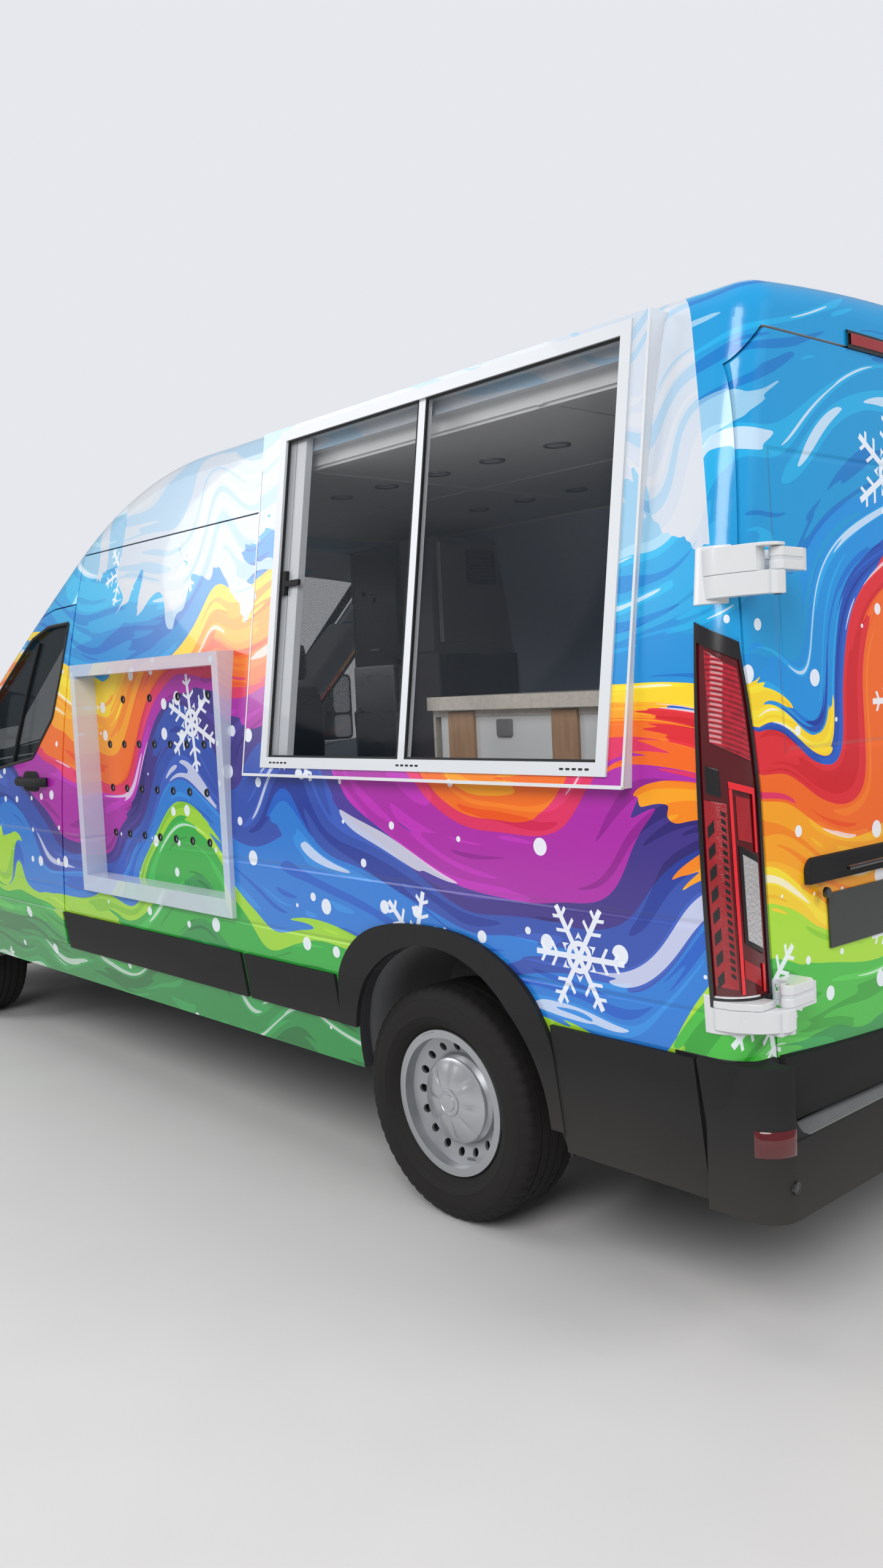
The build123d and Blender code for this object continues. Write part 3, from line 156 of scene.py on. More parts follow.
# a painted, moulded, woven or cast surface with a little variation and grain; dust gathers towards the ground
def grainFinish(name, colour, rough=0.5, metal=0.0, grain=300.0, bump=0.15, vary=0.12, coat=0.0, cloud=3.0,
                stretch=(1, 1, 1), ior=1.45, dust=0.0):
    sheet = Sheet(bpy.data.materials.new(name))
    place = sheet.add("ShaderNodeVectorMath", {"operation": "MULTIPLY"}, [sheet.place(), stretch])
    broad = sheet.noise(place, cloud, 4)
    fine = sheet.noise(place, grain)
    tone = sheet.mix(broad, shade(colour, 1 - vary), shade(colour, 1 + vary))
    if dust:
        z = sheet.parts(sheet.place())[2]
        settled = (roadDust["top"] - z) * roadDust["fade"] + (broad - 0.5) * 0.5 + (fine - 0.5) * 0.2
        tone = sheet.mix(sheet.clamp(settled, 0.0, 1.0) * dust, tone, roadDust["colour"])
    return sheet.finish(colour=tone, rough=(broad - 0.5) * 0.2 + rough, metal=metal, coat=coat, ior=ior,
                        normal=sheet.bump(fine, bump, 0.002))


def glassFinish(name, tint, alpha, ior=1.45):
    sheet = Sheet(bpy.data.materials.new(name))
    smear = sheet.noise(sheet.place(), 2.2, 5, 0.6)
    sheet.block.surface_render_method = "BLENDED"
    return sheet.finish(colour=sheet.mix(smear, shade(tint, 0.9), shade(tint, 1.1)), rough=smear * 0.05 + 0.03,
                        alpha=smear * 0.04 + alpha, ior=ior)


# chevron ribs moulded in a lens
def ribFinish(name, dark, bright, pitch):
    sheet = Sheet(bpy.data.materials.new(name))
    y, z = sheet.parts(sheet.place())[1:]
    rib = ((z - abs(y) * 0.5) / pitch).do("PINGPONG", 0.5)
    fleck = sheet.noise(sheet.place(), 60.0, 3)
    colour = sheet.mix(rib * 1.5 + fleck - 0.45, dark, bright)
    return sheet.finish(colour=colour, rough=fleck * 0.1 + 0.06, coat=1.0, normal=sheet.bump(rib, 0.7, 0.003))


# the truck's skin, worked out again from its drawing
skin = {"half": 1.031, "belt": 1.0, "flankRadius": 5.4, "flankFall": 0.0935, "sillHalf": 0.985,
        "sillLow": 0.39, "sillHigh": 0.70, "rear": -2.95, "lean": 0.04016, "bow": 0.029, "corner": 0.084,
        "panelY": 1.048, "panelZ": 1.378, "panelLean": 0.1456}
sides = (("left", 1), ("right", -1))


def flankY(z):
    if z > skin["belt"]:
        return skin["half"] - skin["flankRadius"] + sqrt(skin["flankRadius"] ** 2 - (z - skin["belt"]) ** 2)
    if z < skin["sillHigh"]:
        part = (z - skin["sillLow"]) / (skin["sillHigh"] - skin["sillLow"])
        return skin["sillHalf"] + part * (skin["half"] - skin["sillHalf"])
    return skin["half"]


def rearX(y, z):
    return skin["rear"] + skin["bow"] * y * y + skin["lean"] * z


def panelY(z):
    return skin["panelY"] - skin["panelLean"] * (z - skin["panelZ"])


# a point on an upright round corner: s runs from the rear face (below 0) over the round edge onto the flank
def cornerSpot(xc, yc, radius, s, z, lift):
    arc = radius * pi / 2
    if s < 0:
        return Vector((xc - radius - lift, yc + s, z))
    if s > arc:
        return Vector((xc + s - arc, yc + radius + lift, z))
    return Vector((xc - (radius + lift) * cos(s / radius), yc + (radius + lift) * sin(s / radius), z))


def tailSpot(s, z, lift):
    yc = flankY(z) - skin["corner"]
    return cornerSpot(rearX(yc + 0.02, z) + skin["corner"], yc, skin["corner"], s, z, lift)


def flip(spot, sign):
    return Vector((spot[0], spot[1] * sign, spot[2]))


# a way of placing points, kept on the left or mirrored to the right
def onSide(spot, sign):
    return lambda *place: flip(spot(*place), sign)


def even(low, high, count):
    return [low + (high - low) * k / count for k in range(count + 1)]


# printed vinyl wrap: rainbow ribbons, dots and six-armed frost stars
wrap = {
    "waveBase": 0.34, "waveSpan": 2.1, "fold": 1.03, "rear": -2.86, "front": 1.25,
    "middle": [(0.0, (0.02, 0.30, 0.06)), (0.10, (0.03, 0.42, 0.05)), (0.17, (0.35, 0.68, 0.03)),
               (0.21, (0.02, 0.20, 0.66)), (0.29, (0.03, 0.08, 0.42)), (0.36, (0.05, 0.03, 0.24)),
               (0.40, (0.42, 0.02, 0.38)), (0.45, (0.75, 0.03, 0.12)), (0.49, (0.90, 0.16, 0.01)),
               (0.54, (0.95, 0.36, 0.01)), (0.60, (0.95, 0.66, 0.02)), (0.66, (0.01, 0.27, 0.66)),
               (0.74, (0.02, 0.38, 0.74)), (0.86, (0.30, 0.56, 0.76))],
    "ends": [(0.0, (0.02, 0.30, 0.06)), (0.12, (0.06, 0.50, 0.05)), (0.21, (0.40, 0.72, 0.03)),
             (0.27, (0.92, 0.62, 0.02)), (0.32, (0.94, 0.36, 0.01)), (0.42, (0.90, 0.14, 0.01)),
             (0.49, (0.74, 0.02, 0.03)), (0.57, (0.01, 0.08, 0.45)), (0.62, (0.01, 0.28, 0.72)),
             (0.68, (0.01, 0.31, 0.66))],
    "dot": 7.5, "dotColour": (0.86, 0.90, 0.96, 1), "starCell": 0.62, "starArm": 0.05,
    "starColour": (0.88, 0.92, 0.98, 1), "glint": (0.95, 0.97, 1, 1), "shadow": (0.02, 0.02, 0.12, 1),
    "haze": [(0.0, (0.42, 0.60, 0.76)), (0.42, (0.60, 0.66, 0.74)), (0.56, (0.66, 0.69, 0.74))], "hazeZ": 2.03,
}
# plain paint around and behind the wrap; the bluish grey of the inside walls is partly their own paint and
# partly painted shade of the dim inside
paint = {"roof": (0.55, 0.56, 0.58, 1), "plain": (0.64, 0.66, 0.69, 1), "wall": (0.50, 0.57, 0.68, 1),
         "skirt": (0.02, 0.02, 0.022, 1), "arch": (0.05, 0.05, 0.055, 1), "tapEdge": (0.62, 0.68, 0.78, 1),
         "panelEdge": (0.72, 0.74, 0.77, 1), "tail": -2.70}
arch = {"x": -1.85, "z": 0.432, "radius": 0.4095}


def dotMask(sheet, flat, z):
    distance = sheet.add("ShaderNodeTexVoronoi", {"voronoi_dimensions": "2D"},
                         {"Vector": flat, "Scale": wrap["dot"]}, "Distance")
    chance = sheet.parts(Wire(sheet, sheet.last.outputs["Color"]))
    return (distance < chance[0] * 0.17 + 0.03) * (chance[1] > 0.62) * (z < 1.75)


# one star in some of the cells, off the cell's middle
def starMask(sheet, along, z):
    across, up = along / wrap["starCell"] + 0.37, z / wrap["starCell"] + 0.18
    column, row = across.do("FLOOR"), up.do("FLOOR")
    luck = sheet.parts(sheet.add("ShaderNodeTexWhiteNoise", {"noise_dimensions": "3D"},
                                 {"Vector": sheet.join(column, row, 3.0)}, "Color"))
    reach = luck[2] * 0.10 + 0.20
    sideX = (across - column - 0.5 - (luck[0] - 0.5) * 0.3) / reach
    sideZ = (up - row - 0.5 - (luck[1] - 0.5) * 0.3) / reach
    radius = (sideX * sideX + sideZ * sideZ).do("SQRT")
    angle = (sideZ.do("ARCTAN2", sideX) + luck[0] * 3.0 + 7.0).do("PINGPONG", pi / 6)
    out = radius * angle.do("COSINE")
    off = radius * angle.do("SINE")
    arm = off < wrap["starArm"]
    twig = ((out - off * 0.577 + 0.06).do("PINGPONG", 0.14) < 0.035) * (off < 0.36 - out * 0.22) * (out > 0.3)
    ring = abs(radius - 0.24) < 0.05
    return arm.do("MAXIMUM", twig).do("MAXIMUM", ring) * (radius < 1.0) * (luck[1] > 0.56)


# faces that look at a line down the middle of the body, and the underside of the nose
def insideMask(sheet, x, y, z, nx, ny, nz):
    outward = nx * (x - sheet.clamp(x, -2.7, 2.4)) + ny * y + nz * (z - sheet.clamp(z, 0.9, 2.2))
    return (outward < -0.02).do("MAXIMUM", (nz < -0.25) * (x > 1.9))


# what stands off the round corners of the tail: the arms of the hinges
def armMask(x, y, z):
    aboveBelt = (z - skin["belt"]).do("MAXIMUM", 0.0)
    cornerY = skin["half"] - skin["corner"] - aboveBelt * aboveBelt * skin["flankFall"]
    cornerX = y * y * skin["bow"] + z * skin["lean"] + (skin["rear"] + skin["corner"])
    gapX, gapY = (cornerX - x).do("MAXIMUM", 0.0), (abs(y) - cornerY).do("MAXIMUM", 0.0)
    proud = (gapX * gapX + gapY * gapY).do("SQRT") > skin["corner"] + 0.0035
    return proud * (x < paint["tail"]) * (abs(z - skin["belt"]) > 0.12)


# two pressed lines along the flanks and one round each rear door panel
def pressedLines(sheet, x, y, z):
    flank = sheet.step(abs(z - 1.02 - (x + 0.5) * 0.006), 0.0, 0.014) * sheet.step(abs(z - 0.800), 0.0, 0.010)
    doorSide = (abs(abs(y) - 0.46) - 0.34).do("MAXIMUM", abs(z - 1.74) - 0.35)
    door = sheet.step(abs(doorSide), 0.0, 0.012)
    return sheet.add("ShaderNodeMix", {"data_type": "FLOAT"}, [x < -2.80, None, flank, door])


def wrapFinish(name, tapWall=False, panel=False):
    sheet = Sheet(bpy.data.materials.new(name))
    x, y, z = sheet.parts(sheet.place())
    nx, ny, nz = sheet.parts(sheet.add("ShaderNodeTexCoord", {}, {}, "Normal"))
    # the print runs round the corners: x on the flanks, y across the tail and the nose
    along = x + sheet.clamp(x * -1.2, -1.0, 1.0) * (abs(y) - wrap["fold"])
    depth = (y - 0.9).do("MINIMUM", 0.0) * 0.8
    flat = sheet.join(along, z, depth)
    broad = sheet.noise(flat, 0.95, 1.0, 0.5, 0.6)
    wave = z + (broad - 0.5) * 0.95 + (along * 2.1 + 0.8).do("SINE") * 0.13 - 0.06
    if tapWall:
        wave = wave * 0.9 + (along * 5.0).do("SINE") * 0.16
    streak = sheet.noise(sheet.join(along * 0.75, wave * 7.0, depth), 1.0, 2.5, 0.55, 0.5)
    fraction = (wave - wrap["waveBase"]) / wrap["waveSpan"] + (streak - 0.5) * 0.22
    middle = sheet.ramp(fraction, wrap["middle"])
    ends = sheet.ramp(fraction, wrap["ends"])
    edge = along + (broad - 0.5) * 0.8 + (streak - 0.5) * 2.4
    colour = sheet.mix((edge < wrap["rear"]) + (edge > wrap["front"]), middle, ends)
    glint = sheet.noise(sheet.join(along * 1.3 + 7.0, wave * 13.0, depth), 1.0, 1.0, 0.5, 0.8)
    colour = sheet.mix((glint > 0.60) * 0.45, colour, (1, 1, 1, 1), "SOFT_LIGHT")
    colour = sheet.mix((glint > 0.68) * 0.55, colour, wrap["glint"])
    colour = sheet.mix((glint < 0.40) * 0.55, colour, wrap["shadow"], "SOFT_LIGHT")
    colour = sheet.mix(dotMask(sheet, flat, z) * 0.92, colour, wrap["dotColour"])
    colour = sheet.mix(starMask(sheet, along, z) * 0.9, colour, wrap["starColour"])
    # a pale haze over the upper flank and plain white on the roof
    cloud = sheet.noise(flat, 2.1, 3, 0.5, 1.2)
    haze = z + (cloud - 0.5) * 1.1 + (along < -2.2) * 0.05 > wrap["hazeZ"]
    haze = haze * (along > wrap["rear"]) * (along + cloud * 1.8 < 1.15)
    colour = sheet.mix(haze, colour, sheet.ramp(glint, wrap["haze"]))
    topWhite = sheet.step(nz, 0.80, 0.93) * (z > 2.3)
    colour = sheet.mix(topWhite, colour, paint["roof"])
    # paint on the inside faces and the hinge arms, a darker bluish grey on the inside walls that is partly
    # painted shade, dark skin behind the cladding and in the arch lips
    inside = insideMask(sheet, x, y, z, nx, ny, nz)
    colour = sheet.mix(inside.do("MAXIMUM", armMask(x, y, z)), colour, paint["plain"])
    # the inside walls: their own grey, darkened and blued as painted shade of the dim inside
    colour = sheet.mix(inside * (z > 0.9) * (z < 2.32) * (abs(y) < 0.99), colour, paint["wall"])
    colour = sheet.mix((x < paint["tail"]) * (z < y * y * 0.0486 + 0.648), colour, paint["skirt"])
    archX, archZ = x - arch["x"], (z - arch["z"]).do("MAXIMUM", 0.0)
    archLip = ((archX * archX + archZ * archZ).do("SQRT") < arch["radius"]) * (z < 0.9)
    colour = sheet.mix(archLip, colour, paint["arch"])
    if tapWall:
        colour = sheet.mix((y > 0.9625).do("MAXIMUM", ny < 0.5) * 0.80, colour, paint["tapEdge"])
    if panel:
        colour = sheet.mix((z < 1.3235).do("MAXIMUM", x < -2.5835), colour, paint["panelEdge"])
    beads = sheet.step(abs(abs(y).do("PINGPONG", 0.16) - 0.08), 0.012, 0.024)
    skinGrain = sheet.noise(sheet.place(), 900.0, 1)
    height = pressedLines(sheet, x, y, z) + topWhite * beads * 0.8 + skinGrain * 0.02
    return sheet.finish(colour=colour, rough=sheet.noise(flat, 6.0, 3) * 0.1 + topWhite * 0.5 + 0.17,
                        coat=0.35 - topWhite * 0.33, normal=sheet.bump(height, 0.55, 0.006))


print("materials")
finishes = {
    "wrapVinyl": wrapFinish("wrapVinyl"),
    "tapWrap": wrapFinish("tapWrap", tapWall=True),
    "panelWrap": wrapFinish("panelWrap", panel=True),
    "windowGlass": glassFinish("windowGlass", (0.02, 0.03, 0.045), 0.09, ior=1.25),
    "tintedGlass": glassFinish("tintedGlass", (0.015, 0.025, 0.03), 0.42),
    "redRib": ribFinish("redRib", (0.16, 0.002, 0.008, 1), (0.62, 0.010, 0.035, 1), 0.0125),
}
grains = {
    "whitePaint": dict(colour=(0.70, 0.71, 0.72), rough=0.28, grain=700, bump=0.03, vary=0.03, coat=0.3),
    "blackPlastic": dict(colour=(0.016, 0.016, 0.017), rough=0.6, grain=1400, bump=0.5, vary=0.2, ior=1.33,
                         dust=0.4),
    "windowFrame": dict(colour=(0.68, 0.70, 0.73), rough=0.32, grain=500, bump=0.05, vary=0.04, coat=0.2),
    "redLens": dict(colour=(0.10, 0.003, 0.006), rough=0.12, grain=60, vary=0.3, coat=0.9),
    "redFacet": dict(colour=(0.34, 0.006, 0.012), rough=0.10, grain=160, bump=0.5, vary=0.35, coat=1.0,
                     stretch=(1, 1, 3)),
    "redGuide": dict(colour=(0.80, 0.020, 0.030), rough=0.15, bump=0.2, vary=0.15, coat=0.9),
    "lampBlack": dict(colour=(0.012, 0.011, 0.012), rough=0.22, bump=0.04, vary=0.1, coat=0.6),
    "clearFacet": dict(colour=(0.62, 0.60, 0.60), rough=0.10, metal=0.6, grain=140, bump=1.0, vary=0.3,
                       coat=1.0),
    "amberLens": dict(colour=(0.70, 0.22, 0.01), rough=0.15, grain=200, bump=0.4, vary=0.2, coat=0.9),
    "mirrorSilver": dict(colour=(0.78, 0.80, 0.82), rough=0.04, metal=1.0, grain=20, bump=0.01, vary=0.03),
    "rubberSeal": dict(colour=(0.014, 0.014, 0.015), rough=0.6, grain=900, bump=0.3, vary=0.15),
    "capSilver": dict(colour=(0.50, 0.51, 0.53), rough=0.30, metal=0.7, grain=900, bump=0.06, vary=0.08,
                      coat=0.2),
    "frosted": dict(colour=(0.70, 0.76, 0.86), rough=0.38, grain=400, bump=0.03, vary=0.05, coat=0.2),
    "stainless": dict(colour=(0.56, 0.57, 0.59), rough=0.30, metal=1.0, grain=260, bump=0.05, vary=0.08,
                      stretch=(1, 1, 14)),
    "appliance": dict(colour=(0.27, 0.245, 0.25), rough=0.34, metal=0.25, grain=260, bump=0.05, vary=0.06,
                      stretch=(1, 1, 14)),
    "plateWhite": dict(colour=(0.045, 0.05, 0.048), rough=0.35, grain=400, bump=0.04, vary=0.05),
    "archGrey": dict(colour=(0.20, 0.205, 0.21), rough=0.6, grain=120, bump=0.3, vary=0.3),
    "chassisPaint": dict(colour=(0.028, 0.028, 0.030), grain=180, bump=0.3, vary=0.3),
    "castMetal": dict(colour=(0.36, 0.36, 0.37), metal=0.9, grain=240, bump=0.5, vary=0.2),
    "rimPaint": dict(colour=(0.46, 0.47, 0.49), rough=0.34, metal=0.75, grain=500, bump=0.08, vary=0.1),
    "tyreRubber": dict(colour=(0.014, 0.013, 0.012), rough=0.72, grain=600, bump=0.35, vary=0.3, ior=1.36),
    "floorSheet": dict(colour=(0.16, 0.165, 0.17), grain=80, bump=0.4, vary=0.2),
    "seatCloth": dict(colour=(0.045, 0.046, 0.050), rough=0.85, grain=900, bump=0.8, vary=0.2),
    "paleLining": dict(colour=(0.74, 0.75, 0.75), rough=0.45, grain=120, bump=0.05, vary=0.03),
    "stone": dict(colour=(0.62, 0.57, 0.50), rough=0.35, grain=160, bump=0.03, vary=0.25, cloud=90),
    "darkCabinet": dict(colour=(0.035, 0.037, 0.040), rough=0.3, bump=0.05, vary=0.1),
    "wood": dict(colour=(0.42, 0.25, 0.14), grain=60, bump=0.1, vary=0.35, cloud=14, stretch=(6, 6, 0.6)),
    "zinc": dict(colour=(0.33, 0.33, 0.33), metal=0.9, grain=40, bump=0.1, vary=0.25),
}
for name, look in grains.items():
    finishes[name] = grainFinish(name, **look)
# what each node is made of; a name without its side stands for the left node and the right one
nodeFinish = {
    "wrapVinyl": "roof_panel body_side rear_frame cab_frame side_sills sliding_door cab_door rear_door bonnet "
                 "front_wings",
    "tapWrap": "tap_station",
    "panelWrap": "serving_panel",
    "blackPlastic": "side_cladding rear_bumper front_bumper grille mud_flaps rear_door_handle door_mirror "
                    "dashboard fuel_tank steering_wheel scuttle_panel",
    "archGrey": "wheel_arch_liners",
    "windowFrame": "serving_frame",
    "windowGlass": "serving_glass",
    "tintedGlass": "windscreen cab_glass",
    "lampBlack": "headlamps",
    "redLens": "tail_lamps",
    "appliance": "ice_machine",
    "stainless": "exhaust",
    "plateWhite": "number_plate",
    "chassisPaint": "chassis_rails rear_axle front_subframe propeller_shaft knuckle",
    "castMetal": "engine_block",
    "rimPaint": "rim_front rim_rear",
    "tyreRubber": "tyre_front tyre_rear spare_wheel",
    "floorSheet": "floor_pan",
    "seatCloth": "cab_seats",
    "paleLining": "ceiling_lining",
    "stone": "service_counter",
    "darkCabinet": "tall_cabinet",
}
for finish, names in nodeFinish.items():
    for name in names.split():
        for node in [name] if name in nodes else [name + "_left", name + "_right"]:
            nodes[node].data.materials.clear()
            nodes[node].data.materials.append(finishes[finish])


# loose shapes are gathered in one mesh before they become a piece
class Clay:
    def __init__(self):
        self.mesh = bmesh.new()

    def net(self, grid, around=False, capped=False):
        rows = [[self.mesh.verts.new(spot) for spot in row] for row in grid]
        for low, high in zip(rows, rows[1:]):
            count = len(low)
            for i in range(count if around else count - 1):
                j = (i + 1) % count
                self.mesh.faces.new((low[i], low[j], high[j], high[i]))
        if capped:
            self.mesh.faces.new(rows[0])
            self.mesh.faces.new(rows[-1])

    def prism(self, outline, low, high, spot):
        self.net([[spot(u, v, level) for u, v in outline] for level in (low, high)], True, True)

    # a plate with square or round corners
    def plate(self, corners, deep, spot, radius=0, steps=5):
        u0, v0, u1, v1 = corners
        square = [(u0, v0), (u1, v0), (u1, v1), (u0, v1)]
        self.prism(rounded(*corners, radius, steps) if radius else square, *deep, spot)

    def box(self, low, high):
        self.plate((low[0], low[1], high[0], high[1]), (low[2], high[2]), alongZ)

    def turned(self, profile, centre, axis, steps=48, wave=None):
        axis = Vector(axis).normalized()
        first = axis.orthogonal().normalized()
        second = axis.cross(first)
        grid = []
        for radius, along in profile:
            row = []
            for i in range(steps):
                angle = 2 * pi * i / steps
                r, a = (radius, along) if wave is None else wave(radius, along, angle, i)
                row.append(Vector(centre) + axis * a + (first * cos(angle) + second * sin(angle)) * r)
            grid.append(row)
        self.net(grid, True)

    def tube(self, path, radius, sides=8, closed=False, flat=1.0):
        path = [Vector(spot) for spot in path]
        grid = []
        count = len(path)
        for i, spot in enumerate(path):
            before = path[i - 1] if i > 0 or closed else spot
            after = path[(i + 1) % count] if i < count - 1 or closed else spot
            along = (after - before).normalized()
            across = along.cross(Vector((0, 0, 1)))
            if across.length < 0.05:
                across = along.cross(Vector((0, 1, 0)))
            across.normalize()
            third = across.cross(along)
            turns = [2 * pi * k / sides for k in range(sides)]
            grid.append([spot + (across * cos(turn) + third * (sin(turn) * flat)) * radius for turn in turns])
        if closed:
            grid.append(grid[0])
        self.net(grid, True, not closed)

    def make(self, name, finish, bevel=0.0, body="truck", slot="", sharp=40, soft=0):
        bmesh.ops.remove_doubles(self.mesh, verts=self.mesh.verts, dist=0.00002)
        bmesh.ops.recalc_face_normals(self.mesh, faces=self.mesh.faces)
        mesh = bpy.data.meshes.new(name)
        self.mesh.to_mesh(mesh)
        self.mesh.free()
        mesh.materials.append(finishes[finish])
        mesh.polygons.foreach_set("use_smooth", [True] * len(mesh.polygons))
        mesh.set_sharp_from_angle(angle=radians(sharp))
        made = bpy.data.objects.new(name, mesh)
        bpy.context.scene.collection.objects.link(made)
        if bevel:
            edge = made.modifiers.new("edge", "BEVEL")
            edge.width = bevel
            edge.segments = 2
            edge.limit_method = "ANGLE"
            edge.angle_limit = radians(30)
            edge.harden_normals = True
        if soft:
            made.modifiers.new("soft", "SUBSURF").levels = soft
            made.modifiers["soft"].render_levels = soft
        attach(made, body)
        return made


def rounded(u0, v0, u1, v1, radius, steps=5):
    outline = []
    corners = [(u1 - radius, v0 + radius, -90), (u1 - radius, v1 - radius, 0), (u0 + radius, v1 - radius, 90),
               (u0 + radius, v0 + radius, 180)]
    for u, v, start in corners:
        for k in range(steps + 1):
            angle = radians(start + 90 * k / steps)
            outline.append((u + radius * cos(angle), v + radius * sin(angle)))
    return outline


# where the points of an outline go when it is drawn across one axis and pushed along it
def alongX(y, z, x):
    return Vector((x, y, z))


def alongY(x, z, y):
    return Vector((x, y, z))


def alongZ(x, y, z):
    return Vector((x, y, z))


print("wheels")
wheel = {"axles": {"front": 1.955, "rear": -1.805}, "y": 0.875, "z": 0.35, "bolts": 6, "boltCircle": 0.1385,
         "weightCircle": 0.2115, "valveCircle": 0.186,
         "nut": [(0.001, 0.028), (0.003, 0.0275), (0.0045, 0.024), (0.0048, 0.012)]}
tyre = {"steps": 216, "radius": 0.3495, "crown": 0.16, "groove": 0.007, "notch": 0.004,
        "ribs": ((0.080, 0.056), (0.050, 0.021), (0.013, -0.013), (-0.021, -0.050), (-0.056, -0.080)),
        "wall": [(0.2037, 0.074), (0.216, 0.0785), (0.223, 0.081), (0.231, 0.092), (0.240, 0.1015),
                 (0.2415, 0.1035), (0.244, 0.1042), (0.2465, 0.1072), (0.262, 0.1130), (0.2635, 0.1142),
                 (0.266, 0.1138), (0.284, 0.1168), (0.300, 0.1160), (0.313, 0.1132), (0.3145, 0.1140),
                 (0.317, 0.1120), (0.330, 0.1065), (0.338, 0.1010), (0.3445, 0.0930), (0.3475, 0.0860)]}
tread = []
for start, end in tyre["ribs"]:
    tread += [(tyre["radius"] - tyre["crown"] * a * a, a) for a in (start, (start + end) / 2, end)]
    tread += [(tyre["radius"] - tyre["groove"], end - a) for a in (0.0008, 0.0052)]
profile = tyre["wall"] + tread[:-2] + [(r, -a) for r, a in reversed(tyre["wall"])]


def treadWave(radius, along, angle, i):
    edge = abs(along)
    if radius > 0.329 and edge > 0.058 and i % 4 == 0:
        return radius - tyre["notch"], along
    if radius > 0.345 and 0.015 < edge < 0.056 and (i + 2) % 6 == 0:
        return radius - tyre["notch"] * 0.7, along
    return radius, along


cap = {"steps": 96, "seat": 0.052, "spokes": 8, "flute": 0.0042,
       "profile": [(0.1275, 0.001), (0.1275, 0.008), (0.124, 0.0105), (0.117, 0.0125), (0.108, 0.0165),
                   (0.094, 0.0220), (0.078, 0.0268), (0.060, 0.0300), (0.048, 0.0312), (0.042, 0.0316),
                   (0.0405, 0.0350), (0.038, 0.0362), (0.034, 0.0362), (0.0325, 0.0345), (0.026, 0.0345),
                   (0.0245, 0.0372), (0.010, 0.0384), (0.001, 0.0386)]}


def capWave(radius, along, angle, i):
    if 0.045 < radius < 0.115:
        fade = min(1, (radius - 0.045) / 0.02, (0.115 - radius) / 0.012)
        along = along - cap["flute"] * fade * (1 - abs(sin(angle * cap["spokes"] / 2))) ** 2.2
    return radius, along


def onWheel(centre, radius, degrees, out):
    return centre + Vector((radius * cos(radians(degrees)), out, radius * sin(radians(degrees))))


for end, axleX in wheel["axles"].items():
    for side, sign in sides:
        wheelName = end + "_" + side
        body = "wheel_" + wheelName
        centre = Vector((axleX, wheel["y"] * sign, wheel["z"]))
        shape = Clay()
        shape.turned(profile, centre, (0, sign, 0), tyre["steps"], treadWave)
        made = shape.make("tyreTread_" + wheelName, "tyreRubber", body=body, sharp=32)
        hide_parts("tyre_" + wheelName)
        shape = Clay()
        seated = [(r, a + cap["seat"]) for r, a in cap["profile"]]
        shape.turned(seated, centre, (0, sign, 0), cap["steps"], capWave)
        shape.make("hubCap_" + wheelName, "capSilver", body=body, sharp=28)
        # nuts, a balance weight on the rim and the valve
        shape = Clay()
        for number in range(wheel["bolts"]):
            spot = onWheel(centre, wheel["boltCircle"], number * 360 / wheel["bolts"] + 15, 0)
            shape.turned(wheel["nut"], spot, (0, sign, 0), 12)
        shape.tube([onWheel(centre, wheel["weightCircle"], a, 0.084 * sign) for a in range(62, 80, 3)], 0.0045)
        valve = onWheel(centre, wheel["valveCircle"], 250, 0.034 * sign)
        shape.tube([valve, valve + Vector((0.004, 0.022 * sign, 0.010)),
                    valve + Vector((0.006, 0.040 * sign, 0.016))], 0.0042, 10)
        shape.make("wheelTrim_" + wheelName, "zinc", body=body, sharp=35)

print("serving window")
window = {"rear": -2.505, "front": -1.087, "base": 1.378, "top": 2.415, "bar": -1.76, "barHalf": 0.015,
          "gasket": (-0.0115, -0.003)}
drain = {"middles": (-1.155, -1.800, -2.437), "z": 1.361, "pitch": 0.021, "deep": (0.004, 0.0066)}


def onPanel(x, z, lift):
    return Vector((x, panelY(z) + lift, z))


panes = [(window["rear"], window["bar"] - window["barHalf"]),
         (window["bar"] + window["barHalf"], window["front"])]
base, top = window["base"], window["top"]
shape = Clay()
for low, high in panes:
    for corners in ((low, base, high, base + 0.006), (low, top - 0.006, high, top),
                    (low, base, low + 0.005, top), (high - 0.005, base, high, top)):
        shape.plate(corners, window["gasket"], onPanel)
shape.make("windowGasket", "rubberSeal")

shape = Clay()
for middle in drain["middles"]:
    for number in range(5):
        u = middle + (number - 2) * drain["pitch"]
        shape.plate((u - 0.007, drain["z"] - 0.0028, u + 0.007, drain["z"] + 0.0028), drain["deep"], onPanel,
                    0.0026, 3)
shape.make("drainSlots", "rubberSeal")

shape = Clay()
shape.plate((-1.118, 1.905, -1.098, 1.985), (-0.024, -0.004), onPanel, 0.008)
shape.plate((-1.190, 1.932, -1.110, 1.952), (-0.016, -0.004), onPanel, 0.008)
shape.make("windowLatch", "blackPlastic", 0.002)

sash = {"wide": 0.082, "deep": (-0.046, -0.0185)}
shape = Clay()
low, high = panes[1]
for u0, u1 in ((low, low + 0.020), (high - sash["wide"], high - 0.030), (high - 0.024, high)):
    shape.plate((u0, base, u1, top), sash["deep"], onPanel)
shape.make("sashFrame", "windowFrame", 0.002)

trim = {"rear": -2.592, "front": -0.941, "base": 1.3145, "top": 2.440, "wide": 0.006, "deep": (-0.002, 0.0015)}
shape = Clay()
for corners in ((trim["rear"], trim["base"], trim["rear"] + trim["wide"], trim["top"]),
                (trim["front"] - trim["wide"], trim["base"], trim["front"], trim["top"] - 0.1),
                (trim["rear"], trim["base"], trim["front"], trim["base"] + trim["wide"])):
    shape.plate(corners, trim["deep"], onPanel)
shape.make("panelTrim", "whitePaint", 0.0008)

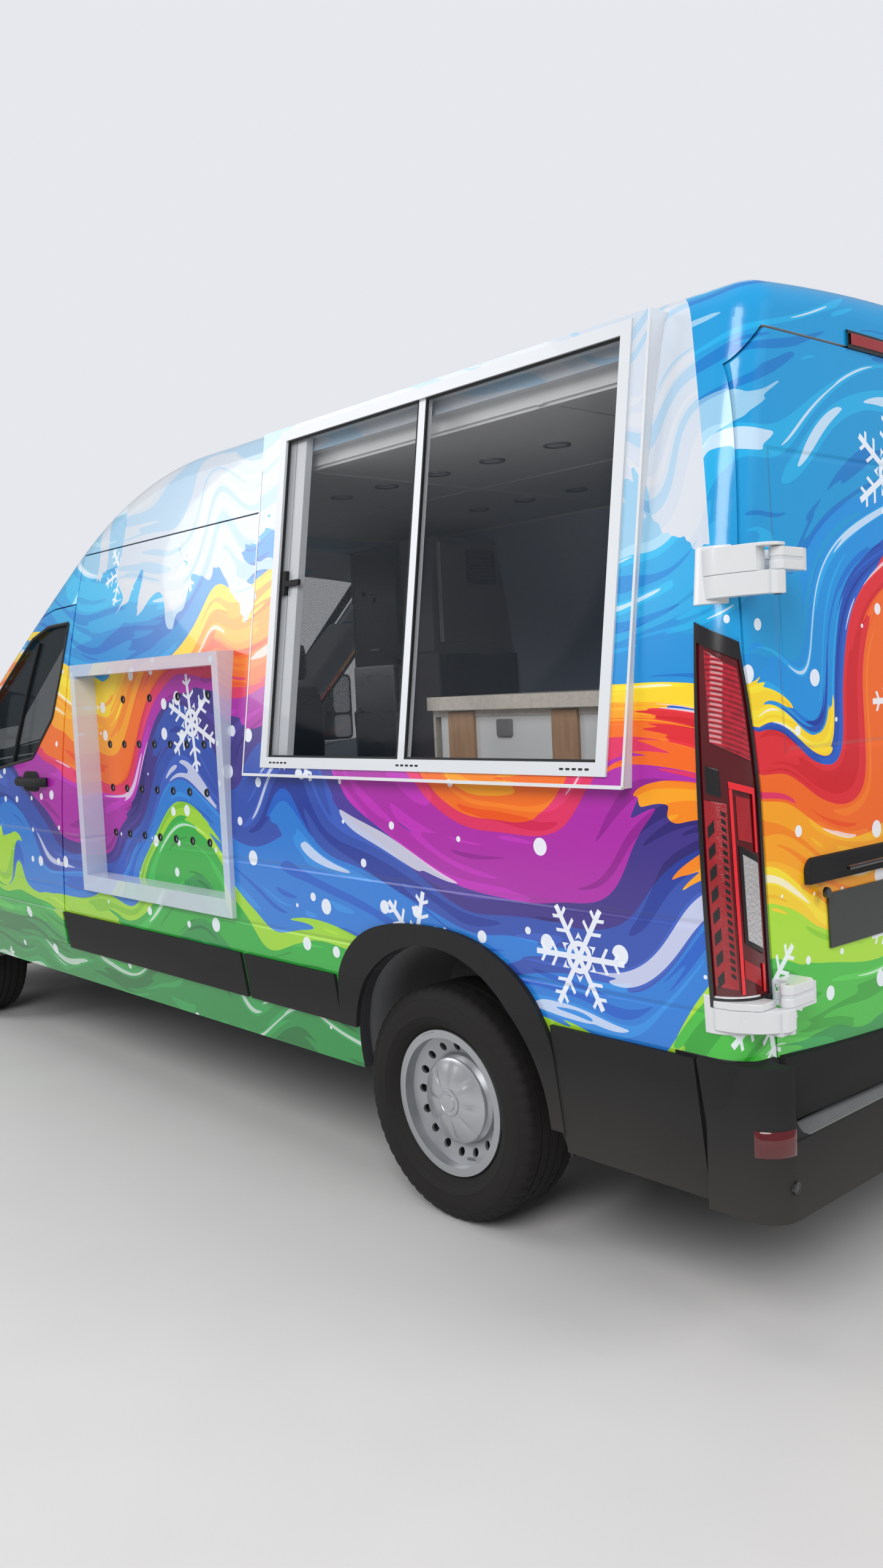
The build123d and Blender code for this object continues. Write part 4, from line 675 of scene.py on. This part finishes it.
print("tap wall")
tap = {"first": -0.548, "pitch": 0.122, "rows": (1.050, 1.235, 1.413), "topFirst": -0.596, "topPitch": 0.215,
       "topZ": 1.593, "face": 0.960}
spots = [(tap["first"] + i * tap["pitch"], z) for z in tap["rows"] for i in range(7)]
spots += [(tap["topFirst"] + i * tap["topPitch"], tap["topZ"]) for i in range(4)]
shape = Clay()
for x, z in spots:
    shape.turned([(0.0106, -0.004), (0.0106, 0.0022), (0.0125, 0.0034), (0.0150, 0.0026), (0.0160, 0.0004)],
                 (x, tap["face"], z), (0, 1, 0), 28)
shape.make("tapGrommets", "rubberSeal", sharp=50)

print("tail lamps")
# patches on each lamp: parts across (0 by the door, 1 on the flank), heights, lift off the skin, slant, rows
tailLamp = {
    "lampBezel": ("lampBlack", [
        (0.0, 0.07, 0.822, 1.636, 0.0065, 0.0, 24), (0.93, 1.0, 0.822, 1.690, 0.0065, 0.0, 24),
        (0.0, 1.0, 1.604, 1.648, 0.0065, 0.052, 2), (0.0, 1.0, 0.819, 0.842, 0.0065, 0.0, 1),
        (0.66, 0.86, 1.300, 1.362, 0.0052, 0.05, 3), (0.15, 0.46, 0.936, 1.160, 0.0056, 0.10, 8)]),
    "lampRibs": ("redRib", [(0.14, 0.76, 1.378, 1.588, 0.0050, 0.075, 8)]),
    "lampFacets": ("redFacet", [
        (0.585, 0.90, 0.860, 1.285, 0.0042, 0.03, 14), (0.24, 0.46, 1.192, 1.292, 0.0042, 0.05, 4),
        (0.23, 0.49, 0.862, 0.905, 0.0046, 0.10, 3)]),
    "lightGuide": ("redGuide", [
        (0.505, 0.550, 0.850, 1.318, 0.0068, 0.0, 16), (0.150, 0.188, 0.850, 0.915, 0.0066, 0.0, 3),
        (0.150, 0.188, 1.170, 1.306, 0.0066, 0.0, 5), (0.150, 0.550, 1.300, 1.316, 0.0068, 0.05, 1)]),
    "reverseLens": ("clearFacet", [(0.18, 0.42, 0.950, 1.146, 0.0088, 0.10, 6)]),
}


def lampInner(z):
    inner = 0.916 if z < 1.31 else 0.916 + (min(z, 1.62) - 1.31) * 0.1
    yc = flankY(z) - skin["corner"]
    if inner < yc:
        return inner - yc
    part = min(1, (inner - yc) / skin["corner"])
    return skin["corner"] * atan2(part, sqrt(max(0.0001, 1 - part * part)))


def lampOuter(z):
    yc = flankY(z) - skin["corner"]
    xc = rearX(yc + 0.02, z) + skin["corner"]
    return skin["corner"] * pi / 2 + (-2.757 + 0.0537 * (z - 1.726) - xc) - 0.003


def lampPatch(shape, fromPart, toPart, low, high, lift, deep, sign, slant, rows, columns):
    outer, inner = [], []
    for r in range(rows + 1):
        outerRow, innerRow = [], []
        for c in range(columns + 1):
            part = fromPart + (toPart - fromPart) * c / columns
            z = low + (high - low) * r / rows + slant * (part - fromPart)
            s = lampInner(z) + (lampOuter(z) - lampInner(z)) * part
            outerRow.append(flip(tailSpot(s, z, lift), sign))
            innerRow.append(flip(tailSpot(s, z, lift - deep), sign))
        outer.append(outerRow)
        inner.append(innerRow)
    ring = [(r, 0) for r in range(rows)] + [(rows, c) for c in range(columns)]
    ring += [(r, columns) for r in range(rows, 0, -1)] + [(0, c) for c in range(columns, 0, -1)]
    shape.net(outer)
    shape.net(inner)
    shape.net([[outer[r][c] for r, c in ring], [inner[r][c] for r, c in ring]], True)


# short dark bars in the lenses: how many, first height, pitch, height, parts across, slant, columns
lampBars = ((22, 0.885, 0.0176, 0.009, 0.615, 0.675, 0.12, 1), (8, 0.880, 0.049, 0.026, 0.77, 0.86, -0.18, 2))
for side, sign in sides:
    for name, (finish, patches) in tailLamp.items():
        shape = Clay()
        for fromPart, toPart, low, high, lift, slant, rows in patches:
            columns = 3 + int(8 * (toPart - fromPart))
            lampPatch(shape, fromPart, toPart, low, high, lift, 0.004, sign, slant, rows, columns)
        shape.make(name + "_" + side, finish, 0.0012)
    shape = Clay()
    for count, first, pitch, tall, fromPart, toPart, slant, columns in lampBars:
        for number in range(count):
            low = first + number * pitch
            lampPatch(shape, fromPart, toPart, low, low + tall, 0.0056, 0.002, sign, slant, 1, columns)
    shape.make("lampNotches_" + side, "lampBlack")


# rows on a surface that stand off it by their own lifts, with both ends on it
def ridge(shape, spot, us, rows):
    shape.net([[spot(u, v, lift if u in us[1:-1] else 0) for u in us] for v, lift in rows])


# a band that stands off a surface and closes below it
def band(shape, spot, us, low, high, lift, sunk):
    shape.net([[spot(u, v, out) for u in us]
               for v, out in ((low, -sunk), (low, lift), (high, lift), (high, -sunk), (low, -sunk))])


def onRear(y, z, lift):
    return Vector((rearX(y, z) - lift, y, z))


print("rear door fittings")
hinge = {"x": -2.946, "y": 0.932, "barrel": 0.0178, "foot": 0.150}
hinges = {
    "upper": {"low": 1.750, "high": 1.850, "top": 1.8605, "seat": 0.062, "skin": -2.850, "back": [
        (-2.926, 0.984), (-2.905, 0.990), (-2.835, 0.993), (-2.795, 0.986), (-2.775, 0.973), (-2.800, 0.948)]},
    "lower": {"low": 0.770, "high": 0.870, "top": 0.836, "seat": 0.004, "skin": -2.885, "back": [
        (-2.926, 1.004), (-2.915, 1.012), (-2.870, 1.034), (-2.825, 1.040), (-2.800, 1.029), (-2.840, 0.985),
        (-2.885, 0.950)]},
}
heel = [(-2.930, 0.948), (-2.945, 0.936), (-2.9645, 0.936), (-2.9625, 0.958), (-2.949, 0.975)]
ear = [(-2.9645, 0.932), (-2.9625, 0.957), (-2.949, 0.974), (-2.924, 0.984), (-2.924, 0.930), (-2.946, 0.9145),
       (-2.959, 0.919)]
for side, sign in sides:
    fixed, moving, dark = Clay(), Clay(), Clay()
    level = onSide(alongZ, sign)
    for part in hinges.values():
        low, high, top = part["low"], part["high"], part["top"]
        middle = (low + high) / 2
        axis = (hinge["x"], hinge["y"] * sign, 0)
        barrel = hinge["barrel"]
        fixed.turned([(0.004, low - 0.002), (barrel, low - 0.001), (barrel, middle - 0.0006),
                      (0.004, middle - 0.0004)], axis, (0, 0, 1), 28)
        fixed.prism(heel + part["back"], low - 0.002, middle - 0.001, level)
        fixed.prism([(-2.926, 0.948)] + part["back"], middle - 0.0005, top, level)
        if top > high:
            fixed.prism(ear, high + 0.0028, top, level)
        ridge(fixed, onSide(tailSpot, sign), even(part["seat"], hinge["foot"], 8),
              ((low - 0.014, 0), (low - 0.012, 0.0045), (top + 0.008, 0.0045), (top + 0.010, 0)))
        moving.turned([(0.004, middle + 0.0008), (barrel, middle + 0.001), (barrel, middle + 0.021),
                       (barrel - 0.004, middle + 0.023), (barrel - 0.004, middle + 0.028),
                       (barrel, middle + 0.030), (barrel, high + 0.001), (0.004, high + 0.002)],
                      axis, (0, 0, 1), 28)
        strap = [(-2.9635, 0.930), (-2.9635, 0.852), (-2.952, 0.8385), (part["skin"], 0.8385),
                 (part["skin"], 0.8975), (-2.9285, 0.8975), (-2.9285, 0.930)]
        moving.prism(strap, middle + 0.001, middle + 0.022, level)
        moving.prism(strap, middle + 0.029, high + 0.001, level)
        if top > high:
            crown = [(0.001, top + 0.0012), (0.0085, top + 0.0010), (0.0095, top - 0.001)]
            dark.turned(crown, axis, (0, 0, 1), 20)
        foot = [(0.001, 0.0032 - low), (0.0085, 0.0030 - low), (0.0095, 0.001 - low)]
        dark.turned(foot, axis, (0, 0, -1), 20)
    fixed.make("hingeArm_" + side, "whitePaint", 0.003)
    moving.make("hingeStrap_" + side, "whitePaint", 0.003, body="rear_door_" + side + "_body")
    dark.make("hingePins_" + side, "rubberSeal")


# a cushion on a surface: its rim lies on the skin and the rest stands off it
def pad(shape, spot, us, vs, lift):
    shape.net([[spot(u, v, lift if 0 < i < len(vs) - 1 and 0 < j < len(us) - 1 else 0.0002)
                for j, u in enumerate(us)] for i, v in enumerate(vs)])


def spread(low, high, count, rim):
    return [low, low + rim] + even(low, high, count)[1:-1] + [high - rim, high]


doorClad = {"inner": 0.0065, "outer": 0.899, "low": 0.5315, "topInner": 0.652, "topOuter": 0.694,
            "lift": 0.012}


def cladSpot(y, part, lift):
    top = doorClad["topInner"] + (doorClad["topOuter"] - doorClad["topInner"]) * (abs(y) / 0.93) ** 2
    return onRear(y, doorClad["low"] + part * (top - doorClad["low"]), lift)


for side, sign in sides:
    shape = Clay()
    pad(shape, onSide(cladSpot, sign), spread(doorClad["inner"], doorClad["outer"], 16, 0.004),
        spread(0, 1, 5, 0.03), doorClad["lift"])
    shape.make("doorCladding_" + side, "blackPlastic", body="rear_door_" + side + "_body", sharp=60)
    shape = Clay()
    pad(shape, onSide(tailSpot, sign), spread(-0.031, 0.1795, 18, 0.004), spread(0.505, 0.6945, 5, 0.006),
        0.0125)
    shape.make("cornerCladding_" + side, "blackPlastic", sharp=60)

# hood over the handle, square below and rounded above
handle = {"inner": 0.062, "outer": 0.763, "low": 1.0705, "high": 1.132, "corner": 0.034, "lift": 0.0165}


def handleSpot(y, part, lift):
    near = max(0.0, handle["corner"] - min(y - handle["inner"], handle["outer"] - y))
    top = handle["high"] - handle["corner"] + sqrt(max(0.0, handle["corner"] ** 2 - near ** 2))
    return onRear(y, handle["low"] + part * (top - handle["low"]), lift * (1 - 0.55 * part ** 3))


shape = Clay()
ends = spread(handle["inner"], handle["inner"] + handle["corner"], 8, 0.002)[:-2]
ys = ends + even(0.14, 0.69, 6) + [handle["inner"] + handle["outer"] - y for y in reversed(ends)]
pad(shape, handleSpot, ys, [0.0, 0.02, 0.3, 0.5, 0.65, 0.78, 0.88, 0.96, 1.0], handle["lift"])
made = shape.make("handleHood", "blackPlastic", body="rear_door_left_body", sharp=50)
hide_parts("rear_door_handle")

brakeLamp = {"half": 0.44, "low": 2.381, "high": 2.409}
for name, lift, grow, finish in (("Base", 0.006, 0.008, "lampBlack"), ("Lens", 0.010, 0.0, "redFacet")):
    shape = Clay()
    half = brakeLamp["half"] + grow
    band(shape, onRear, even(-half, half, 24), brakeLamp["low"] - grow, brakeLamp["high"] + grow, lift, 0.01)
    shape.make("brakeLamp" + name, finish, 0.002, slot="red_lens")

step = {"rear": -2.9655, "ribs": 9, "pitch": 0.0075, "wide": 0.0042, "half": 0.90, "low": 0.5145,
        "high": 0.5185}
shape = Clay()
for number in range(step["ribs"]):
    x = step["rear"] + number * step["pitch"]
    shape.box((x, -step["half"], step["low"]), (x + step["wide"], step["half"], step["high"]))
shape.make("stepTread", "archGrey", 0.0008)

bumper = {"x": -2.890, "y": 0.945, "radius": 0.080}
bend = {"y": 0.9495, "z": 0.5135, "radius": 0.085, "out": 0.006, "span": (-2.9675, -2.905)}


def bumperSpot(s, z, lift):
    return cornerSpot(bumper["x"], bumper["y"], bumper["radius"], s, z, lift)


curve = [(bend["y"] - bend["radius"] * (1 - sin(radians(a))),
          bend["z"] + bend["radius"] * (1 - cos(radians(a)))) for a in range(0, 91, 10)]
fillet = [(bend["y"] + bend["out"], bend["z"] - bend["out"]), (curve[0][0], bend["z"] - bend["out"])] + curve
fillet += [(bend["y"] + bend["out"], curve[-1][1])]
for side, sign in sides:
    shape = Clay()
    shape.prism(fillet, *bend["span"], onSide(alongX, sign))
    shape.make("bumperFillet_" + side, "blackPlastic", 0.002)
    shape = Clay()
    ridge(shape, onSide(bumperSpot, sign), even(0.003, 0.108, 14),
          ((0.486, 0.0005), (0.489, 0.003), (0.520, 0.0038), (0.545, 0.003), (0.548, 0.0005)))
    shape.make("bumperReflector_" + side, "redLens", sharp=60)
    shape = Clay()
    for s, z in ((0.010, 0.412), (-0.56, 0.412)):
        spot = flip(bumperSpot(s, z, 0), sign)
        shape.turned([(0.0005, 0.0035), (0.008, 0.0035), (0.0105, 0.0025), (0.0120, 0.0040), (0.0140, 0.0035),
                      (0.0150, -0.002)], spot, (-1, 0, 0), 28)
    shape.make("parkSensors_" + side, "lampBlack")

shape = Clay()
shape.tube([(-2.938, 0.645, 1.099), (-2.938, 0.30, 1.099), (-2.944, 0.085, 1.099)], 0.006)
shape.turned([(0.0005, 0.006), (0.011, 0.006), (0.013, 0.004), (0.0135, -0.004)], (-2.912, 0.700, 1.045),
             (-1, 0, 0), 24)
shape.make("doorLock", "lampBlack", 0.001, body="rear_door_left_body")

print("cab doors")
cabWindow = [(0.502, 1.930), (0.542, 1.730), (0.610, 1.530), (0.813, 1.353), (1.233, 1.296), (1.500, 1.262),
             (1.532, 1.300), (1.532, 1.418), (0.861, 1.880), (0.700, 1.926)]


def onFlank(x, z, lift):
    y = flankY(z) + lift
    if x > 1.5:
        y -= 4.2 - sqrt(4.2 ** 2 - (x - 1.5) ** 2)
    return Vector((x, y, z))


for side, sign in sides:
    body = "cab_door_" + side + "_body"
    shape = Clay()
    path = []
    for (x0, z0), (x1, z1) in zip(cabWindow, cabWindow[1:] + cabWindow[:1]):
        for k in range(6):
            part = 0.04 + 0.92 * k / 5
            path.append(flip(onFlank(x0 + (x1 - x0) * part, z0 + (z1 - z0) * part, -0.001), sign))
    shape.tube(path, 0.0075, 6, True)
    bar = zip(even(0.799, 1.041, 8), even(1.861, 1.318, 8))
    shape.tube([flip(onFlank(x, z, -0.0095), sign) for x, z in bar], 0.0125, 8, False, 0.6)
    shape.make("windowSeal_" + side, "rubberSeal", body=body)
    shape = Clay()
    grip = [(0.660, 0.004), (0.672, 0.018), (0.70, 0.030), (0.80, 0.036), (0.90, 0.032), (0.930, 0.018),
            (0.940, 0.004)]
    shape.tube([flip(onFlank(x, 1.250, lift), sign) for x, lift in grip], 0.0165, 12, False, 1.25)
    shape.plate((0.745, 1.205, 0.915, 1.295), (0.0005, 0.003), onSide(onFlank, sign), 0.040)
    shape.make("cabHandle_" + side, "blackPlastic", 0.001, body=body)
    shape = Clay()
    for low, high in ((1.468, 1.680), (1.322, 1.452)):
        shape.plate((1.096, low, 1.216, high), (1.3772, 1.3808), onSide(alongX, sign), 0.025)
    shape.make("mirrorGlass_" + side, "mirrorSilver", body=body, slot="clear_glass")
    shape = Clay()
    shape.plate((1.396, 1.470, 1.470, 1.500), (1.2325, 1.2332), onSide(alongY, sign), 0.012)
    shape.make("mirrorLamp_" + side, "amberLens", body=body)

print("nose")
screen = {"x": 0.5477, "z": 2.2643, "tilt": radians(33), "crown": 0.067}


def onScreen(x, y, lift):
    z = screen["z"] - tan(screen["tilt"]) * (x - screen["x"]) - screen["crown"] * y * y
    return Vector((x + lift * sin(screen["tilt"]), y, z + lift * cos(screen["tilt"])))


shape = Clay()
for sign in (1, -1):
    offset = 0.10 * sign
    arm = [(1.930, 0.62 * sign + offset), (1.905, 0.50 * sign + offset), (1.850, 0.28 * sign + offset),
           (1.800, 0.06 * sign + offset)]
    shape.tube([onScreen(x, y, 0.016 - 0.003 * k) for k, (x, y) in enumerate(arm)], 0.0055)
    blade = zip(even(1.905, 1.735, 10), even(0.66, -0.08, 10))
    shape.tube([onScreen(x, y * sign + offset, 0.0065) for x, y in blade], 0.0045, 6)
shape.make("wiperArms", "blackPlastic")

border = {"rear": (0.606, 0.768), "front": (1.948, 0.898), "top": 0.055, "side": 0.050, "foot": 0.075,
          "low": -0.0015, "high": 0.0012, "steps": 16}


# a ring of even steps between four corners: x of the rear and the front edge, half of each edge's width
def screenRing(x0, y0, x1, y1):
    corners = [(x0, -y0), (x0, y0), (x1, y1), (x1, -y1)]
    return [(u0 + (u1 - u0) * k / border["steps"], v0 + (v1 - v0) * k / border["steps"])
            for (u0, v0), (u1, v1) in zip(corners, corners[1:] + corners[:1]) for k in range(border["steps"])]


outer = screenRing(*border["rear"], *border["front"])
inner = screenRing(border["rear"][0] + border["top"], border["rear"][1] - border["side"],
                   border["front"][0] - border["foot"], border["front"][1] - border["side"])
shape = Clay()
shape.net([[onScreen(x, y, lift) for x, y in ring] for ring, lift in (
    (outer, border["low"]), (outer, border["high"]), (inner, border["high"]), (inner, border["low"]))], True)
shape.make("screenBorder", "lampBlack", sharp=60)


# the raked and chamfered faces of the nose
def noseSpot(y, z, lift):
    x = min(2.925 - 0.4737 * (y - 0.640), 2.970 - 0.2663 * max(0, z - 0.668))
    return Vector((x + lift, y + (0.45 * lift if y > 0.68 else 0), z))


def noseBand(shape, y0, y1, z0, z1, lift, sign, columns=12):
    band(shape, onSide(noseSpot, sign), even(y0, y1, columns), z0, z1, lift, 0.02)


chamfer = Vector((0.9035, 0.4283, 0.05)).normalized()
for side, sign in sides:
    bowls = [(flip(noseSpot(0.800, 0.920, 0.001), sign), flip(chamfer, sign), 0.060),
             (flip(noseSpot(0.610, 0.925, 0.0005), sign), Vector((0.966, 0, 0.257)), 0.047)]
    rings, lenses = Clay(), Clay()
    for spot, ahead, radius in bowls:
        rings.turned([(radius * 1.16, -0.008), (radius * 1.15, 0.004), (radius * 1.08, 0.007), (radius, 0.006),
                      (radius * 0.97, 0.001), (radius * 0.60, 0.002), (radius * 0.58, 0.006),
                      (radius * 0.50, 0.006)], spot, ahead, 40)
        lenses.turned([(radius * 0.52, 0.004), (radius * 0.46, 0.010), (radius * 0.30, 0.0145),
                       (0.0006, 0.0165)], spot, ahead, 36)
    noseBand(rings, 0.70, 0.715, 0.845, 0.985, 0.004, sign, 2)
    rings.make("headlampRings_" + side, "mirrorSilver", sharp=50)
    lenses.make("headlampLenses_" + side, "clearFacet")
    shape = Clay()
    noseBand(shape, 0.535, 0.885, 0.836, 0.848, 0.005, sign)
    noseBand(shape, 0.535, 0.547, 0.848, 0.990, 0.005, sign, 2)
    shape.make("dayLights_" + side, "frosted", 0.001)
    shape = Clay()
    band(shape, onSide(lambda x, z, out: (x, 1.0045 - 0.29 * (x - 2.640) + out, z), sign),
         even(2.640, 2.720, 8), 0.900, 0.955, 0, 0.03)
    shape.make("headlampAmber_" + side, "amberLens", 0.001)
    shape = Clay()
    bowl = [(0.052, -0.010), (0.052, 0.003), (0.044, 0.006), (0.038, 0.002), (0.030, 0.004), (0.0006, 0.010)]
    shape.turned(bowl, flip(noseSpot(0.790, 0.520, -0.001), sign), flip(chamfer, sign), 36)
    shape.make("fogLamps_" + side, "clearFacet", sharp=45)
    # lips round the front wheel arches
    shape = Clay()
    rows = []
    for radius, lift in ((0.4065, -0.012), (0.4065, 0.016), (0.412, 0.0185), (0.452, 0.0165), (0.460, 0.010),
                         (0.462, -0.004)):
        row = []
        for angle in even(radians(-4), radians(184), 48):
            x, z = wheel["axles"]["front"] + radius * cos(angle), wheel["z"] + radius * sin(angle)
            row.append((x, (flankY(min(z, 0.99)) + lift) * sign, z))
        rows.append(row)
    shape.net(rows)
    shape.make("frontArchLip_" + side, "blackPlastic", sharp=50)

shape = Clay()
shape.plate((-0.265, 0.585, 0.265, 0.705), (2.965, 2.9695), alongX, 0.008)
shape.make("frontPlate", "plateWhite", 0.001)

print("inside")
downlight = {"xs": (-2.40, -2.09, -1.798, -1.504, -1.232, -0.95, -0.68), "y": 0.365, "z": 2.3298}
shape = Clay()
glow = Clay()
for x in downlight["xs"]:
    for y in (downlight["y"], -downlight["y"]):
        spot = (x, y, downlight["z"])
        shape.turned([(0.036, 0.0), (0.045, 0.0), (0.044, 0.005), (0.037, 0.006), (0.034, 0.003)], spot,
                     (0, 0, -1), 28)
        glow.turned([(0.0005, 0.0022), (0.034, 0.0022), (0.036, 0.001)], spot, (0, 0, -1), 24)
shape.make("downlightRings", "zinc")
glow.make("downlightLenses", "frosted")

shape = Clay()
for x in (-2.16, -1.05):
    shape.box((x - 0.012, -0.83, 2.3262), (x + 0.012, 0.83, 2.3302))
shape.box((-2.73, -0.006, 2.3270), (0.33, 0.006, 2.3301))
shape.make("ceilingJoints", "paleLining", 0.0008)

header = {"rear": -2.535, "front": -1.060, "y": 0.812, "low": 2.3285, "high": 2.4225}
shape = Clay()
y, low, high = header["y"], header["low"], header["high"]
for y0, z0, y1, z1 in ((y, low, y + 0.008, high), (y + 0.002, high - 0.006, panelY(high) - 0.047, high),
                       (y - 0.022, low - 0.009, y + 0.006, low + 0.004)):
    shape.box((header["rear"], y0, z0), (header["front"], y1, z1))
shape.make("ceilingHeader", "paleLining", 0.002)

counter = {"front": -1.70, "rear": -2.67, "face": 0.826, "low": 0.80, "high": 1.492,
           "stiles": ((-1.854, -1.744), (-2.259, -2.164), (-2.660, -2.570))}
face = counter["face"]
shape = Clay()
shape.box((counter["rear"], face - 0.012, counter["low"]), (counter["front"], face, counter["high"]))
shape.make("counterPanel", "paleLining", 0.002)
shape = Clay()
for low, high in counter["stiles"]:
    shape.box((low, face - 0.004, counter["low"] + 0.01), (high, face + 0.012, counter["high"] + 0.012))
shape.make("counterStiles", "wood", 0.002)
shape = Clay()
shape.plate((-2.005, 1.430, -1.945, 1.480), (face - 0.001, face + 0.008), alongY, 0.006)
shape.make("counterSocket", "zinc", 0.0015, slot="pale_lining")

ice = {"x": -0.2855, "low": 1.79, "high": 2.245, "left": -0.470, "right": -0.838}
shape = Clay()
door = (ice["right"], ice["low"], ice["left"], ice["high"])
shape.plate(door, (ice["x"] - 0.012, ice["x"] + 0.002), alongX, 0.012)
shape.make("iceMachineDoor", "appliance", 0.003)
shape = Clay()
shape.box((ice["x"] - 0.016, ice["left"] - 0.008, ice["low"]),
          (ice["x"] - 0.004, ice["left"] + 0.008, ice["high"]))
shape.make("iceMachineEdge", "whitePaint", 0.002)
shape = Clay()
shape.plate((-0.826, 2.055, -0.636, 2.215), (ice["x"] - 0.0145, ice["x"] - 0.011), alongX, 0.008)
for number in range(9):
    z = 2.068 + number * 0.0165
    shape.box((ice["x"] - 0.019, -0.816, z), (ice["x"] - 0.013, -0.646, z + 0.006))
shape.box((ice["x"] - 0.030, -0.93, 0.92), (ice["x"] - 0.0005, -0.462, 1.735))
shape.make("iceMachineVent", "darkCabinet", 0.0015)

fridge = {"y": -0.3995, "thick": 0.022, "gripX": 0.215, "gripOut": 0.052, "hinges": (1.865, 2.124)}
shape = Clay()
shape.box((-0.050, fridge["y"], 0.79), (0.250, fridge["y"] + fridge["thick"], 1.70))
shape.make("fridgeFront", "stainless", 0.004)
shape = Clay()
near, far = fridge["y"] + fridge["thick"], fridge["y"] + fridge["gripOut"]
grip = ((near, 1.15), (far, 1.17), (far, 1.48), (near, 1.50))
shape.tube([(fridge["gripX"], y, z) for y, z in grip], 0.008, 10)
for z in fridge["hinges"]:
    shape.tube([(0.07, -0.402, z - 0.09), (0.13, -0.398, z - 0.09)], 0.006)
shape.make("fridgeHandles", "zinc", slot="stainless")

seats = {
    "ys": (-0.420, 0.110, 0.590), "half": 0.215,
    "base": [(0.865, 0.975), (1.345, 0.985), (1.362, 1.030), (1.310, 1.082), (1.000, 1.062), (0.868, 1.060)],
    "back": [(0.905, 1.020), (1.005, 1.065), (0.985, 1.250), (0.925, 1.635), (0.850, 1.638), (0.822, 1.300)],
    "rest": [(0.852, 1.652), (0.918, 1.652), (0.916, 1.835), (0.893, 1.848), (0.862, 1.846)],
    "swell": ((-1, 0.55), (-0.97, 0.85), (-0.88, 1), (-0.60, 0.975), (-0.56, 1.01), (0, 1.0), (0.56, 1.01),
              (0.60, 0.975), (0.88, 1), (0.97, 0.85), (1, 0.55)),
}
cushions = (("base", seats["half"] + 0.006), ("back", seats["half"]), ("rest", 0.125))
for number, y in enumerate(seats["ys"]):
    shape = Clay()
    for name, wide in cushions:
        outline = seats[name]
        cx = sum(u for u, v in outline) / len(outline)
        cz = sum(v for u, v in outline) / len(outline)
        shape.net([[(cx + (u - cx) * shrink, y + part * wide, cz + (v - cz) * (1 - (1 - shrink) * 0.3))
                    for u, v in outline] for part, shrink in seats["swell"]], True, True)
    for off in (-0.05, 0.05):
        shape.tube([(0.885, y + off, 1.60), (0.885, y + off, 1.68)], 0.006)
    seat = shape.make("seat_" + str(number), "seatCloth", sharp=70, soft=2)
    if number == 0:
        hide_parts("cab_seats")
shape = Clay()
for y0, y1 in ((-0.62, -0.22), (-0.10, 0.78)):
    shape.box((0.915, y0, 0.701), (1.31, y1, 0.962))
shape.make("seatBoxes", "blackPlastic", 0.012)

print("stage")
stage = {"colour": (0.62, 0.61, 0.60), "half": 30}
half = stage["half"]
floorMesh = bpy.data.meshes.new("floor")
floorMesh.from_pydata([(-half, -half, 0), (half, -half, 0), (half, half, 0), (-half, half, 0)], [],
                      [(0, 1, 2, 3)])
floor = bpy.data.objects.new("floor", floorMesh)
bpy.context.scene.collection.objects.link(floor)
floorMesh.materials.append(grainFinish("floorPale", stage["colour"], 0.8, grain=60, bump=0.05, vary=0.03))

# focus and height are in the photograph's pixels
view = {"spot": (-4.468, 3.319, 1.570), "ahead": (0.7422, -0.6658, -0.0760), "up": (0.0255, -0.0852, 0.9960),
        "focus": 2002.3, "height": 2560, "film": 36}
ahead = Vector(view["ahead"]).normalized()
side = ahead.cross(Vector(view["up"])).normalized()
up = side.cross(ahead)
cameraData = bpy.data.cameras.new("camera")
cameraData.sensor_fit = "AUTO"
cameraData.sensor_width = view["film"]
cameraData.lens = view["film"] * view["focus"] / view["height"]
cameraData.clip_end = 200
camera = bpy.data.objects.new("camera", cameraData)
camera.matrix_world = Matrix((side, up, -ahead)).transposed().to_4x4()
camera.location = view["spot"]
bpy.context.scene.collection.objects.link(camera)
bpy.context.scene.camera = camera
bpy.context.scene.view_settings.view_transform = "Standard"

# where each light stands, what it points at, its power and size, and whether reflections show it
lights = {
    "keyLight": ((-5.5, 6.5, 6.0), (-1.0, 0.6, 1.2), 420, 5.0, True),
    "fillLight": ((5.5, 6.0, 5.0), (1.5, 0.5, 1.2), 230, 5.0, True),
    "backLight": ((-8.0, -2.5, 5.0), (-2.5, -0.5, 1.3), 210, 4.0, False),
    "topLight": ((0.0, 0.0, 8.5), (0.0, 0.0, 0.0), 260, 7.0, False),
}
for name, (spot, target, power, size, glossy) in lights.items():
    lightData = bpy.data.lights.new(name, "AREA")
    lightData.energy = power
    lightData.shape = "DISK"
    lightData.size = size
    light = bpy.data.objects.new(name, lightData)
    light.location = spot
    light.visible_glossy = glossy
    light.rotation_euler = (Vector(target) - Vector(spot)).to_track_quat("-Z", "Y").to_euler()
    bpy.context.scene.collection.objects.link(light)

# the backdrop is brighter than the light that it gives
sky = {"colour": (0.93, 0.95, 1.0, 1), "light": 0.34, "seen": 0.85}
bpy.context.scene.world = bpy.data.worlds.new("world")
sheet = Sheet(bpy.context.scene.world)
cameraRay = sheet.add("ShaderNodeLightPath", {}, {}, "Is Camera Ray")
seen = cameraRay.do("MAXIMUM", Wire(sheet, sheet.last.outputs["Is Transmission Ray"]))
power = sheet.add("ShaderNodeMapRange", {}, {"Value": seen, "To Min": sky["light"], "To Max": sky["seen"]})
backdrop = sheet.add("ShaderNodeBackground", {}, {"Color": sky["colour"], "Strength": power})
sheet.add("ShaderNodeOutputWorld", {}, {"Surface": backdrop})
